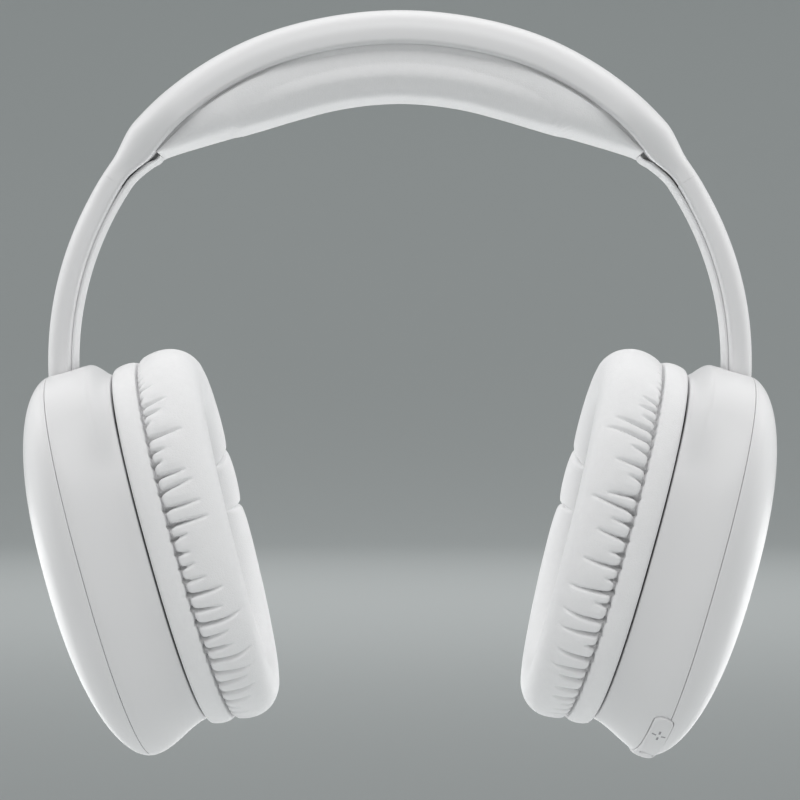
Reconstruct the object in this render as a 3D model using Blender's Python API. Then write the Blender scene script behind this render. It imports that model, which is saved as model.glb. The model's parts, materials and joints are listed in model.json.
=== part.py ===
"""Over-ear wireless headphones, built as an assembly of separate pieces.

Frame: metres, +Z up, +X towards the wearer's right, +Y the way the wearer faces.
The origin is the middle of the head pad's underside, where the head carries the headphones.
"""

from math import copysign, cos, pi, radians, sin, sqrt

import bmesh
import bpy
from mathutils import Vector

for leftover in list(bpy.data.objects):
    bpy.data.objects.remove(leftover, do_unlink=True)

MM = 0.001
SIDES = {"left": -1.0, "right": 1.0}
GAP = 0.3 * MM

# Headband: an arc about a centre below the crown. Each half's centre moves out a little from the middle.
ARC_HEIGHT = -62.7 * MM
ARC_SHIFT = 2.5 * MM
ARC_BLEND = radians(25.0)
BAND_OUTER = 83.5 * MM
BAND_HALF_WIDTH = 14.0 * MM
BAND_LIP = 74.0 * MM
BAND_END = radians(57.0)
BAND_WALL = 1.9 * MM
LIP_RISE = 1.4 * MM
BAND_ROUNDNESS = 0.72
CHANNEL_TOP = 81.6 * MM
NECK_OUTER = 81.8 * MM
NECK_HALF_WIDTH = 6.7 * MM
NECK_LIP = 75.9 * MM
NECK_CHANNEL_TOP = 80.5 * MM
NECK_CHANNEL_HALF_WIDTH = 5.0 * MM
CHANNEL_CORNER = 1.6 * MM
SHOULDER_START = radians(47.0)
SHOULDER_END = radians(54.5)
NARROWING_START = radians(40.0)
NARROWING_END = radians(56.0)
BAND_STATIONS = 32

# Head pad under the band.
PAD_TOP = 75.3 * MM
PAD_NECK = 73.9 * MM
PAD_BOTTOM = 62.7 * MM
PAD_TIP = 73.2 * MM
PAD_HALF_WIDTH = 13.2 * MM
PAD_END_HALF_WIDTH = 7.2 * MM
PAD_END = radians(48.2)
PAD_STRAIGHT_START = radians(17.0)
PAD_TAPER_START = radians(30.0)
PAD_STATIONS = 28
PAD_SIDE_ROUNDNESS = 0.6
PAD_FRONT_ROUNDNESS = 0.75

# Plug that closes the band's channel past the pad's tip.
PLUG_START = radians(48.5)
PLUG_END = radians(51.0)
PLUG_TOP = 75.8 * MM
PLUG_INSET = 0.12 * MM

# Plates inside the band.
PLATE_LOW = 76.0 * MM
PLATE_HIGH = 76.8 * MM
STRIP_LOW = 80.5 * MM
STRIP_HIGH = 81.2 * MM
STRIP_HALF_WIDTH = 6.0 * MM
STRIP_END = radians(40.0)

# Clip and leaf spring that the slider runs through at each side of the band.
GUIDE_START = radians(40.6)
GUIDE_END = radians(44.6)
GUIDE_LOW = 77.1 * MM
GUIDE_HIGH = 80.6 * MM
GUIDE_HALF_WIDTH = 6.6 * MM
SPRING_START = radians(33.0)
SPRING_END = radians(39.5)
SPRING_LOW = 79.7 * MM
SPRING_THICKNESS = 0.3 * MM
SPRING_BOW = 0.25 * MM
SPRING_HALF_WIDTH = 2.6 * MM

# Arms: they slide out of the band along the arc, on a steel slider.
ARM_INNER = 75.9 * MM
ARM_OUTER = 81.8 * MM
ARM_HALF_WIDTH = 6.5 * MM
ARM_START = BAND_END + radians(0.35)
ARM_END = radians(93.0)
LINER_LOW = 74.9 * MM
LINER_HIGH = 75.6 * MM
LINER_HALF_WIDTH = 4.4 * MM
LINER_START = radians(51.2)
SLIDER_LOW = 78.1 * MM
SLIDER_HIGH = 79.1 * MM
SLIDER_HALF_WIDTH = 4.2 * MM
SLIDER_START = radians(29.0)
SLIDER_END = radians(62.0)

# Pivot between arm and cup.
PIVOT_ANGLE = radians(97.0)
PIVOT_RADIUS = 78.0 * MM
PIN_RADIUS = 1.4 * MM
PIN_BORE = 1.6 * MM
FOOT_RADIUS = 3.2 * MM
EAR_RADIUS = 3.0 * MM
FOOT_HALF_WIDTH = 6.4 * MM
FOOT_NECK_HALF = 2.9 * MM
POCKET_HALF_WIDTH = 6.7 * MM
BRACKET_HALF_WIDTH = 8.8 * MM
SLOT_CLEARANCE = 0.95 * MM
SLOT_INNER_CLEARANCE = 1.7 * MM

# Cup frame: level runs out along the cup's axis from the cushion joint, along runs up the cup.
CUP_TILT = radians(15.6)
CUP_DISTANCE = 83.8 * MM
CUP_CENTRE = -88.4 * MM
RIM_HALF_WIDTH = 39.0 * MM
RIM_HALF_HEIGHT = 46.9 * MM
OVAL_POWER = 2.3
DOME_POWER = 2.4
CUP_SEGMENTS = 36
ROUND_START = 14.0 * MM
CROWN = 27.4 * MM
CUP_SEAM = 14.7 * MM
CUP_WALL = 2.0 * MM
TOP_WAIST = 3.8 * MM
TOP_WAIST_RISE = 5.0 * MM
SIDE_WAIST = 5.1 * MM
WAIST_START = radians(40.0)
WAIST_END = radians(64.0)
PLATEAU_ANGLE = radians(85.5)

# Baffle, driver and cushion.
BAFFLE_LOW = 1.2 * MM
BAFFLE_HIGH = 3.2 * MM
BAFFLE_HOLE = 17.4 * MM
SCREW_ANGLES = (radians(48.0), radians(180.0), radians(312.0))
SCREW_HALF_WIDTH = 28.2 * MM
SCREW_HALF_HEIGHT = 36.7 * MM
POST_RADIUS = 2.6 * MM
POST_REACHES = (6.4 * MM, 2.0 * MM, 6.4 * MM)
POST_TOP = 10.4 * MM
CUSHION_HALF_WIDTH = 36.6 * MM
CUSHION_HALF_HEIGHT = 45.0 * MM
CUSHION_RISE = 0.4 * MM
CUSHION_LEAN = 1.3 * MM
CREST_LEVEL = -18.9
EAR_HALF_WIDTH = 20.5 * MM
EAR_HALF_HEIGHT = 29.5 * MM

# Controls along the bottom front of the right cup.
BUTTON_ANGLE = radians(162.1)
BUTTON_LEVEL = 13.4 * MM
ROCKER_HALF_LENGTH = 18.4 * MM
ROCKER_HALF_WIDTH = 2.3 * MM
ROCKER_PROUD = 0.7 * MM
ROCKER_DEPTH = 3.0 * MM
KEY_SPACING = 12.4 * MM
WINDOW_CLEARANCE = 0.35 * MM
POWER_RADIUS = 1.45 * MM
POWER_HOLE = 1.75 * MM
PORT_LEVEL = 9.5 * MM
USB_ANGLE = radians(203.0)
JACK_ANGLE = radians(221.0)
MIC_ANGLE = radians(241.0)
USB_HALF_LENGTH = 4.5 * MM
USB_HALF_HEIGHT = 1.6 * MM
USB_WALL = 0.4 * MM
TONGUE_HALF_LENGTH = 3.3 * MM
TONGUE_HALF_HEIGHT = 0.35 * MM
JACK_RADIUS = 2.9 * MM
JACK_BORE = 1.8 * MM
MIC_RADIUS = 1.9 * MM
MIC_HOLE = 0.6 * MM
PORT_FACE = -0.7 * MM

# Circuit board in the right cup and battery in the left one.
BOARD_LEVELS = (16.4 * MM, 17.6 * MM)
BOARD_HALF_SIZE = (15.0 * MM, 18.0 * MM)
CELL_LEVELS = (16.4 * MM, 21.4 * MM)
CELL_HALF_SIZE = (14.0 * MM, 17.0 * MM)


def smooth(value, low, high):
    """0 below low, 1 above high, and an even rise between them."""
    x = min(max((value - low) / (high - low), 0.0), 1.0)
    return x * x * (3.0 - 2.0 * x)


def blend(first, second, amount):
    return first + (second - first) * amount


# ---------------------------------------------------------------- finishes

def finish(name, colour, roughness, metallic=0.0):
    material = bpy.data.materials.new(name)
    material.use_nodes = True
    shader = material.node_tree.nodes["Principled BSDF"]
    shader.inputs["Base Color"].default_value = (*colour, 1.0)
    shader.inputs["Roughness"].default_value = roughness
    shader.inputs["Metallic"].default_value = metallic
    return material


FINISHES = {
    "shell": finish("white_shell", (0.80, 0.80, 0.80), 0.42),
    "cover": finish("white_cover", (0.81, 0.81, 0.81), 0.38),
    "pad": finish("white_leatherette", (0.76, 0.76, 0.77), 0.55),
    "liner": finish("soft_liner", (0.78, 0.78, 0.79), 0.60),
    "steel": finish("steel", (0.62, 0.62, 0.64), 0.28, 1.0),
    "plastic": finish("grey_plastic", (0.30, 0.30, 0.31), 0.50),
    "magnet": finish("plated_magnet", (0.45, 0.45, 0.47), 0.35, 1.0),
    "film": finish("driver_film", (0.16, 0.15, 0.14), 0.30),
    "cloth": finish("acoustic_cloth", (0.45, 0.45, 0.46), 0.90),
    "board": finish("circuit_board", (0.05, 0.20, 0.10), 0.45),
    "cell": finish("battery_cell", (0.55, 0.56, 0.58), 0.40, 0.3),
    "rubber": finish("grey_rubber", (0.55, 0.55, 0.56), 0.70),
}


# ---------------------------------------------------------------- joint empties

def slide_centre(side):
    return Vector((side * ARC_SHIFT, 0.0, ARC_HEIGHT))


def pivot_point(side):
    across = ARC_SHIFT + PIVOT_RADIUS * sin(PIVOT_ANGLE)
    return Vector((side * across, 0.0, ARC_HEIGHT + PIVOT_RADIUS * cos(PIVOT_ANGLE)))


BODIES = {}


def add_body(name, place, parent=None):
    """An empty on a body's joint axis, which carries that body's pieces."""
    empty = bpy.data.objects.new(name + "_body", None)
    bpy.context.collection.objects.link(empty)
    empty.empty_display_size = 0.01
    empty.location = place
    if parent:
        empty.parent = BODIES[parent][0]
        empty.location = place - BODIES[parent][1]
    BODIES[name] = (empty, place)


# ---------------------------------------------------------------- mesh helpers

def ring_mesh(name, rings, looped=False):
    """A closed mesh through rings of equal length: capped at both ends, or joined end to end."""
    count = len(rings[0])
    points = [point for ring in rings for point in ring]
    spans = len(rings) if looped else len(rings) - 1
    faces = []
    for i in range(spans):
        low = i * count
        high = ((i + 1) % len(rings)) * count
        for j in range(count):
            k = (j + 1) % count
            faces.append((low + j, low + k, high + k, high + j))
    if not looped:
        faces.append(tuple(reversed(range(count))))
        faces.append(tuple(range(len(points) - count, len(points))))
    mesh = bpy.data.meshes.new(name)
    mesh.from_pydata(points, [], faces)
    shell = bmesh.new()
    shell.from_mesh(mesh)
    bmesh.ops.recalc_face_normals(shell, faces=shell.faces)
    shell.to_mesh(mesh)
    shell.free()
    return mesh


def add(name, rings, look, body, looped=False, round_shape=True):
    """One sub-part, with its origin on its body's joint axis."""
    mesh = ring_mesh(name, rings, looped)
    empty, place = BODIES[body]
    for vertex in mesh.vertices:
        vertex.co -= place
    if round_shape:
        mesh.shade_smooth()
        mesh.set_sharp_from_angle(angle=radians(35.0))
    mesh.materials.append(FINISHES[look])
    piece = bpy.data.objects.new(name, mesh)
    bpy.context.collection.objects.link(piece)
    piece.parent = empty
    return piece


def add_tool(name, shapes):
    """A hidden cutter or filler made of one or more closed shapes."""
    joined = bmesh.new()
    for rings, looped in shapes:
        part = ring_mesh(name + "_shape", rings, looped)
        joined.from_mesh(part)
        bpy.data.meshes.remove(part)
    mesh = bpy.data.meshes.new(name)
    joined.to_mesh(mesh)
    joined.free()
    tool = bpy.data.objects.new(name, mesh)
    bpy.context.collection.objects.link(tool)
    tool.hide_render = True
    tool.display_type = "WIRE"
    return tool


def combine(target, tool, operation):
    step = target.modifiers.new(operation.lower() + "_" + tool.name, "BOOLEAN")
    step.operation = operation
    step.solver = "EXACT"
    step.object = tool


def circle_angles(count):
    return [2.0 * pi * i / count for i in range(count)]


# ---------------------------------------------------------------- headband and arms

def band_point(angle, radius, depth):
    """A point of the band: angle from the crown towards +X, radius from the arc's centre, depth along Y."""
    shift = copysign(ARC_SHIFT * smooth(abs(angle), 0.0, ARC_BLEND), angle)
    return Vector((shift + radius * sin(angle), depth, ARC_HEIGHT + radius * cos(angle)))


def spread(first, last, count):
    return [first + (last - first) * i / (count - 1) for i in range(count)]


def band_shape(angle):
    """Half width, outer radius, lip radius, channel half width and channel top at an angle."""
    narrow = smooth(abs(angle), NARROWING_START, NARROWING_END)
    shoulder = smooth(abs(angle), SHOULDER_START, SHOULDER_END)
    half_width = blend(BAND_HALF_WIDTH, NECK_HALF_WIDTH, narrow)
    outer = blend(BAND_OUTER, NECK_OUTER, shoulder)
    lip = blend(BAND_LIP, NECK_LIP, shoulder)
    channel = blend(BAND_HALF_WIDTH - BAND_WALL, NECK_CHANNEL_HALF_WIDTH, narrow)
    top = blend(CHANNEL_TOP, NECK_CHANNEL_TOP, shoulder)
    return half_width, outer, lip, channel, top


def band_section(angle):
    """The band shell's section: a crowned outside and a channel that opens towards the head."""
    half_width, outer, lip, channel, top = band_shape(angle)
    root = lip + LIP_RISE
    section = [(channel, lip), (half_width - 0.7 * MM, lip), (half_width - 0.15 * MM, lip + 0.5 * MM)]
    steps = 5
    for i in range(2 * steps + 1):
        turn = pi * i / (2 * steps)
        across = copysign(abs(cos(turn)) ** BAND_ROUNDNESS, cos(turn)) * half_width
        section.append((across, root + (outer - root) * sin(turn) ** BAND_ROUNDNESS))
    mirrored = [(-across, radius) for across, radius in reversed(section[:3])]
    section.extend(mirrored)
    section.extend([(-channel, top - CHANNEL_CORNER), (CHANNEL_CORNER - channel, top)])
    section.extend([(channel - CHANNEL_CORNER, top), (channel, top - CHANNEL_CORNER)])
    return [band_point(angle, radius, across) for across, radius in section]


def bar_section(angle, low, high, half_width):
    """A flat bar's section."""
    corners = [(low, -half_width), (low, half_width), (high, half_width), (high, -half_width)]
    return [band_point(angle, radius, across) for radius, across in corners]


def pad_section(angle):
    """The head pad: tucked between the band's lips, full below them, and straight towards its tips."""
    bottom = min(PAD_BOTTOM / cos(max(abs(angle) - PAD_STRAIGHT_START, 0.0)), PAD_TIP)
    bulge = blend(PAD_HALF_WIDTH, PAD_END_HALF_WIDTH, smooth(abs(angle), PAD_TAPER_START, PAD_END))
    channel = band_shape(angle)[3]
    tuck = min(bulge - 0.6 * MM, channel - 0.5 * MM)
    depth = PAD_NECK - bottom
    section = [(-tuck, PAD_TOP), (-tuck, PAD_NECK)]
    steps = 4
    for i in range(1, 2 * steps):
        turn = pi * i / (2 * steps)
        across = -copysign(abs(cos(turn)) ** PAD_SIDE_ROUNDNESS, cos(turn)) * bulge
        section.append((across, PAD_NECK - depth * sin(turn) ** PAD_FRONT_ROUNDNESS))
    section.extend([(tuck, PAD_NECK), (tuck, PAD_TOP)])
    return [band_point(angle, radius, across) for across, radius in section]


def band_plug(side):
    """Where the band's lips come together past the pad's tip."""
    rings = []
    for angle in spread(PLUG_START, PLUG_END, 3):
        half_width, _, lip, channel, _ = band_shape(angle)
        rings.append(bar_section(side * angle, lip + PLUG_INSET, PLUG_TOP, 0.5 * (half_width + channel)))
    return rings


def add_headband():
    stations = spread(-BAND_END, BAND_END, BAND_STATIONS)
    shell = add("headband_shell", [band_section(a) for a in stations], "shell", "headband")
    plugs = [(band_plug(side), False) for side in SIDES.values()]
    combine(shell, add_tool("band_plugs", plugs), "UNION")
    plate_end = BAND_END - radians(0.2)
    plate = []
    for angle in spread(-plate_end, plate_end, 30):
        plate.append(bar_section(angle, PLATE_LOW, PLATE_HIGH, band_shape(angle)[3] - GAP))
    add("headband_inner_plate", plate, "plastic", "headband")
    strip = [bar_section(a, STRIP_LOW, STRIP_HIGH, STRIP_HALF_WIDTH) for a in spread(-STRIP_END, STRIP_END, 16)]
    add("spring_steel_strip", strip, "steel", "headband")
    pad = [pad_section(a) for a in spread(-PAD_END, PAD_END, PAD_STATIONS)]
    add("head_pad", pad, "pad", "headband")


def add_slider_guide(side, word):
    """A clip in the band's channel with a slot that the steel slider runs through."""
    turns = [side * a for a in spread(GUIDE_START, GUIDE_END, 3)]
    outer = [bar_section(a, GUIDE_LOW, GUIDE_HIGH, GUIDE_HALF_WIDTH) for a in turns]
    low = SLIDER_LOW - GAP
    high = SLIDER_HIGH + GAP
    inner = [bar_section(a, low, high, SLIDER_HALF_WIDTH + GAP) for a in reversed(turns)]
    add(word + "_slider_guide", outer + inner, "plastic", "headband", looped=True, round_shape=False)


def add_detent_spring(side, word):
    """A bowed leaf that drops into the slider's notches."""
    rings = []
    for angle in spread(SPRING_START, SPRING_END, 7):
        bow = SPRING_BOW * sin(pi * (angle - SPRING_START) / (SPRING_END - SPRING_START))
        low = SPRING_LOW - bow
        rings.append(bar_section(side * angle, low, low + SPRING_THICKNESS, SPRING_HALF_WIDTH))
    add(word + "_detent_spring", rings, "steel", "headband")


def arm_section(angle, side):
    middle = 0.5 * (ARM_INNER + ARM_OUTER)
    half = 0.5 * (ARM_OUTER - ARM_INNER)
    section = []
    for turn in circle_angles(14):
        radius = middle + copysign(abs(cos(turn)) ** 0.75, cos(turn)) * half
        across = copysign(abs(sin(turn)) ** 0.75, sin(turn)) * ARM_HALF_WIDTH
        section.append(band_point(side * angle, radius, across))
    return section


def add_arm(side, word):
    body = word + "_arm"
    stations = spread(ARM_START, ARM_END, 14)
    arm = add(word + "_arm_shell", [arm_section(a, side) for a in stations], "shell", body)
    margin = 0.3 * MM
    pocket = []
    for angle in spread(radians(56.0), SLIDER_END + radians(0.3), 4):
        half_width = SLIDER_HALF_WIDTH + margin
        pocket.append(bar_section(side * angle, SLIDER_LOW - margin, SLIDER_HIGH + margin, half_width))
    combine(arm, add_tool(word + "_slider_pocket", [(pocket, False)]), "DIFFERENCE")
    liner = []
    for angle in spread(LINER_START, ARM_END, 17):
        liner.append(bar_section(side * angle, LINER_LOW, LINER_HIGH, LINER_HALF_WIDTH))
    add(word + "_arm_liner", liner, "liner", body)
    slider = []
    for angle in spread(SLIDER_START, SLIDER_END, 14):
        slider.append(bar_section(side * angle, SLIDER_LOW, SLIDER_HIGH, SLIDER_HALF_WIDTH))
    add(word + "_arm_slider", slider, "steel", body)


# ---------------------------------------------------------------- pivots

def round_about_pin(side, radius, count, depth):
    """A circle about the pivot pin's axis at a depth along Y."""
    centre = pivot_point(side)
    ring = []
    for turn in circle_angles(count):
        ring.append(centre + Vector((radius * cos(turn), depth, radius * sin(turn))))
    return ring


def pin_hole(side, half_width):
    return [round_about_pin(side, PIN_BORE, 12, -half_width), round_about_pin(side, PIN_BORE, 12, half_width)]


def add_arm_foot(side, word):
    """The hinge eye under the arm's end."""
    centre = pivot_point(side)
    top = ARC_HEIGHT + PIVOT_RADIUS * cos(ARM_END) - 1.2 * MM
    middle = side * (ARC_SHIFT + PIVOT_RADIUS * sin(ARM_END))
    outline = [Vector((middle + FOOT_NECK_HALF, 0.0, top)), Vector((middle - FOOT_NECK_HALF, 0.0, top))]
    for turn in spread(pi, 2.0 * pi, 9):
        outline.append(centre + Vector((FOOT_RADIUS * cos(turn), 0.0, FOOT_RADIUS * sin(turn))))
    rings = []
    for depth in (-FOOT_HALF_WIDTH, FOOT_HALF_WIDTH):
        rings.append([point + Vector((0.0, depth, 0.0)) for point in outline])
    foot = add(word + "_arm_foot", rings, "plastic", word + "_arm")
    bore = add_tool(word + "_foot_bore", [(pin_hole(side, FOOT_HALF_WIDTH + MM), False)])
    combine(foot, bore, "DIFFERENCE")


def cup_point(side, level, along, across):
    """A point in a cup's frame, in world coordinates."""
    out = CUP_DISTANCE + level
    up = CUP_CENTRE + along
    x = out * cos(CUP_TILT) + up * sin(CUP_TILT)
    return Vector((side * x, across, up * cos(CUP_TILT) - out * sin(CUP_TILT)))


def pivot_in_cup():
    """The pivot's level and height in the cup's frame."""
    place = pivot_point(1.0)
    level = place.x * cos(CUP_TILT) - place.z * sin(CUP_TILT) - CUP_DISTANCE
    along = place.x * sin(CUP_TILT) + place.z * cos(CUP_TILT) - CUP_CENTRE
    return level, along


def add_pivot(side, word):
    """The clevis bracket inside the cup's top, and its pin."""
    level, along = pivot_in_cup()
    base_top = along - 5.8 * MM
    base_low = base_top - 3.4 * MM
    reach = BAFFLE_HIGH + GAP
    outline = [(reach, base_low), (level + EAR_RADIUS, base_low), (level + EAR_RADIUS, along)]
    for turn in spread(radians(22.5), radians(157.5), 7):
        outline.append((level + EAR_RADIUS * cos(turn), along + EAR_RADIUS * sin(turn)))
    outline.extend([(level - EAR_RADIUS, along), (level - EAR_RADIUS, base_top), (reach, base_top)])
    rings = []
    for depth in (-BRACKET_HALF_WIDTH, BRACKET_HALF_WIDTH):
        rings.append([cup_point(side, out, up, depth) for out, up in outline])
    bracket = add(word + "_pivot_bracket", rings, "plastic", word + "_cup")
    pocket = []
    for depth in (-POCKET_HALF_WIDTH, POCKET_HALF_WIDTH):
        reach_out = EAR_RADIUS + 2.0 * MM
        corners = [(-reach_out, base_top + 0.01 * MM), (reach_out, base_top + 0.01 * MM)]
        corners.extend([(reach_out, along + reach_out), (-reach_out, along + reach_out)])
        pocket.append([cup_point(side, level + out, up, depth) for out, up in corners])
    tool = add_tool(word + "_bracket_pocket", [(pocket, False)])
    combine(bracket, tool, "DIFFERENCE")
    hole = add_tool(word + "_bracket_bore", [(pin_hole(side, BRACKET_HALF_WIDTH + MM), False)])
    combine(bracket, hole, "DIFFERENCE")
    pin = [round_about_pin(side, PIN_RADIUS, 12, depth) for depth in (-BRACKET_HALF_WIDTH, BRACKET_HALF_WIDTH)]
    add(word + "_pivot_pin", pin, "steel", word + "_cup")


# ---------------------------------------------------------------- cup casing

def oval(angle, half_width, half_height):
    """A rounded oval: (along, across). Angle 0 is the top, and the front, -Y, comes next."""
    power = 2.0 / OVAL_POWER
    along = copysign(abs(cos(angle)) ** power, cos(angle)) * half_height
    across = -copysign(abs(sin(angle)) ** power, sin(angle)) * half_width
    return along, across


def casing_halves(level, angle, inset=0.0):
    """The casing's half width and half height at a level: shallow waist at the top, deep elsewhere."""
    if level > ROUND_START:
        rise = (level - ROUND_START) / (CROWN - inset - ROUND_START)
        scale = (1.0 - rise * rise) ** (1.0 / DOME_POWER)
        return scale * (RIM_HALF_WIDTH - inset), scale * (RIM_HALF_HEIGHT - inset)
    from_top = min(angle, 2.0 * pi - angle)
    flank = smooth(from_top, WAIST_START, WAIST_END)
    shallow = TOP_WAIST * (1.0 - smooth(level, 0.0, TOP_WAIST_RISE))
    deep = SIDE_WAIST * (1.0 - smooth(level, -1.0 * MM, ROUND_START))
    waist = blend(shallow, deep, flank) + inset
    return RIM_HALF_WIDTH - waist, RIM_HALF_HEIGHT - waist


def casing_point(side, level, angle, inset=0.0):
    along, across = oval(angle, *casing_halves(level, angle, inset))
    return cup_point(side, level, along, across)


def casing_ring(side, level, inset=0.0):
    return [casing_point(side, level, angle, inset) for angle in circle_angles(CUP_SEGMENTS)]


def oval_ring(side, level, half_width, half_height, count=CUP_SEGMENTS):
    ring = []
    for angle in circle_angles(count):
        along, across = oval(angle, half_width, half_height)
        ring.append(cup_point(side, level, along, across))
    return ring


def add_cup_shell(side, word):
    """The main casing: a waisted ring between the cushion joint and the cover's seam."""
    top = CUP_SEAM - 0.5 * GAP
    outside = [0.0, 2.0 * MM, 4.5 * MM, 8.0 * MM, 11.0 * MM, 14.0 * MM, top]
    inside = [top, 12.0 * MM, TOP_WAIST_RISE, 0.0]
    rings = [casing_ring(side, level) for level in outside]
    rings.extend(casing_ring(side, level, CUP_WALL) for level in inside)
    shell = add(word + "_cup_shell", rings, "shell", word + "_cup", looped=True)
    posts = [(post_rings(side, a, reach), False) for a, reach in zip(SCREW_ANGLES, POST_REACHES)]
    combine(shell, add_tool(word + "_screw_posts", posts), "UNION")
    holes = [(screw_rings(side, a, 1.3 * MM, 0.0, 10.0 * MM), False) for a in SCREW_ANGLES]
    combine(shell, add_tool(word + "_screw_holes", holes), "DIFFERENCE")
    return shell


def arm_slot(side):
    """The opening in the cup's top that the arm goes through."""
    inner = ARC_SHIFT + LINER_LOW - SLOT_INNER_CLEARANCE
    outer = ARC_SHIFT + ARM_OUTER + SLOT_CLEARANCE
    middle = 0.5 * (inner + outer)
    half = 0.5 * (outer - inner)
    half_width = ARM_HALF_WIDTH + 0.6 * MM
    rings = []
    for height in (-60.0 * MM, -71.5 * MM):
        ring = []
        for turn in circle_angles(20):
            x = copysign(abs(cos(turn)) ** 0.6, cos(turn)) * half
            y = copysign(abs(sin(turn)) ** 0.6, sin(turn)) * half_width
            ring.append(Vector((side * (middle + x), y, height)))
        rings.append(ring)
    return rings


def dome_ring(side, turn, inset=0.0):
    """A ring of the cover's dome: turn runs from the rim to the crown."""
    scale = cos(turn) ** (2.0 / DOME_POWER)
    level = ROUND_START + (CROWN - inset - ROUND_START) * sin(turn)
    return oval_ring(side, level, scale * (RIM_HALF_WIDTH - inset), scale * (RIM_HALF_HEIGHT - inset))


def dome_start(level, inset=0.0):
    """The turn at which the dome reaches a level."""
    rise = (level - ROUND_START) / (CROWN - inset - ROUND_START)
    turn = 0.0
    while sin(turn) < rise:
        turn += radians(0.05)
    return turn


def add_outer_cover(side, word):
    """The domed outer cover, with a small flat at its crown."""
    edge = CUP_SEAM + 0.5 * GAP
    outside = [dome_start(edge), *[radians(a) for a in (26.0, 38.0, 50.0, 63.0, 75.0)], PLATEAU_ANGLE]
    inside = [dome_start(edge, CUP_WALL), radians(33.0), radians(50.0), radians(68.0), PLATEAU_ANGLE]
    rings = [dome_ring(side, turn) for turn in reversed(outside)]
    rings.extend(dome_ring(side, turn, CUP_WALL) for turn in inside)
    return add(word + "_outer_cover", rings, "cover", word + "_cup")


# ---------------------------------------------------------------- inside the cups

def turned(side, profile, count=16):
    """Rings about the cup's own axis through (radius, level) pairs."""
    rings = []
    for radius, level in profile:
        ring = []
        for turn in circle_angles(count):
            ring.append(cup_point(side, level * MM, radius * MM * cos(turn), radius * MM * sin(turn)))
        rings.append(ring)
    return rings


def screw_rings(side, angle, radius, low, high):
    """A cylinder along the cup's axis at one of the screw places."""
    along, across = oval(angle, SCREW_HALF_WIDTH, SCREW_HALF_HEIGHT)
    rings = []
    for level in (low, high):
        ring = []
        for turn in circle_angles(10):
            ring.append(cup_point(side, level, along + radius * cos(turn), across + radius * sin(turn)))
        rings.append(ring)
    return rings


def post_rings(side, angle, reach):
    """A screw post, drawn out towards the casing's wall until it meets it."""
    along, across = oval(angle, SCREW_HALF_WIDTH, SCREW_HALF_HEIGHT)
    length = sqrt(along * along + across * across)
    rings = []
    for level in (BAFFLE_HIGH + GAP, POST_TOP):
        ring = []
        for turn in circle_angles(12):
            up = POST_RADIUS * cos(turn)
            out = POST_RADIUS * sin(turn)
            if up * along + out * across > 0.0:
                up += reach * along / length
                out += reach * across / length
            ring.append(cup_point(side, level, along + up, across + out))
        rings.append(ring)
    return rings


def add_baffle(side, word):
    """The plate that carries the driver, with a round hole in its middle."""
    inset = CUP_WALL + 0.4 * MM
    rings = [casing_ring(side, BAFFLE_LOW, inset), casing_ring(side, BAFFLE_HIGH, inset)]
    for level in (BAFFLE_HIGH, BAFFLE_LOW):
        rings.append([driver_hole_point(side, angle, level) for angle in circle_angles(CUP_SEGMENTS)])
    plate = add(word + "_baffle", rings, "plastic", word + "_cup", looped=True, round_shape=False)
    holes = [(screw_rings(side, a, 1.4 * MM, 0.0, 5.0 * MM), False) for a in SCREW_ANGLES]
    combine(plate, add_tool(word + "_baffle_holes", holes), "DIFFERENCE")
    for number, angle in enumerate(SCREW_ANGLES, start=1):
        head = screw_rings(side, angle, 2.1 * MM, -0.1 * MM, 0.9 * MM)
        shank = screw_rings(side, angle, 1.05 * MM, 0.9 * MM, 9.0 * MM)
        name = word + "_baffle_screw_" + str(number)
        add(name, head + shank, "steel", word + "_cup")


def driver_hole_point(side, angle, level):
    """A point of the driver's round hole, in step with the oval's own points."""
    return cup_point(side, level, BAFFLE_HOLE * cos(angle), -BAFFLE_HOLE * sin(angle))


def add_driver(side, word):
    """The driver: basket, magnet, film and the grille in front of it."""
    body = word + "_cup"
    basket = [(20.0, 3.5), (20.0, 6.0), (14.0, 10.0), (8.0, 10.0)]
    basket.extend([(8.0, 9.0), (13.4, 9.0), (18.6, 5.3), (18.6, 3.5)])
    add(word + "_driver_frame", turned(side, basket), "plastic", body, looped=True)
    magnet = [(7.4, 7.3), (7.4, 10.3), (10.0, 10.3), (10.0, 14.3)]
    add(word + "_driver_magnet", turned(side, magnet), "magnet", body)
    film = [(1.5, 5.7), (6.4, 5.2), (7.4, 4.3), (17.9, 3.9), (17.9, 4.3), (7.6, 4.8), (6.7, 5.7), (1.5, 6.2)]
    add(word + "_driver_film", turned(side, film), "film", body)
    grille = add(word + "_driver_grille", turned(side, [(17.0, 1.5), (17.0, 2.5)]), "plastic", body)
    holes = []
    for turn in circle_angles(6):
        holes.append((grille_hole(side, 10.5 * MM, turn), False))
    combine(grille, add_tool(word + "_grille_holes", holes), "DIFFERENCE")


def grille_hole(side, distance, place):
    rings = []
    for level in (0.5 * MM, 3.5 * MM):
        ring = []
        for turn in circle_angles(6):
            along = distance * cos(place) + 3.0 * MM * cos(turn)
            ring.append(cup_point(side, level, along, distance * sin(place) + 3.0 * MM * sin(turn)))
        rings.append(ring)
    return rings


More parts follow.
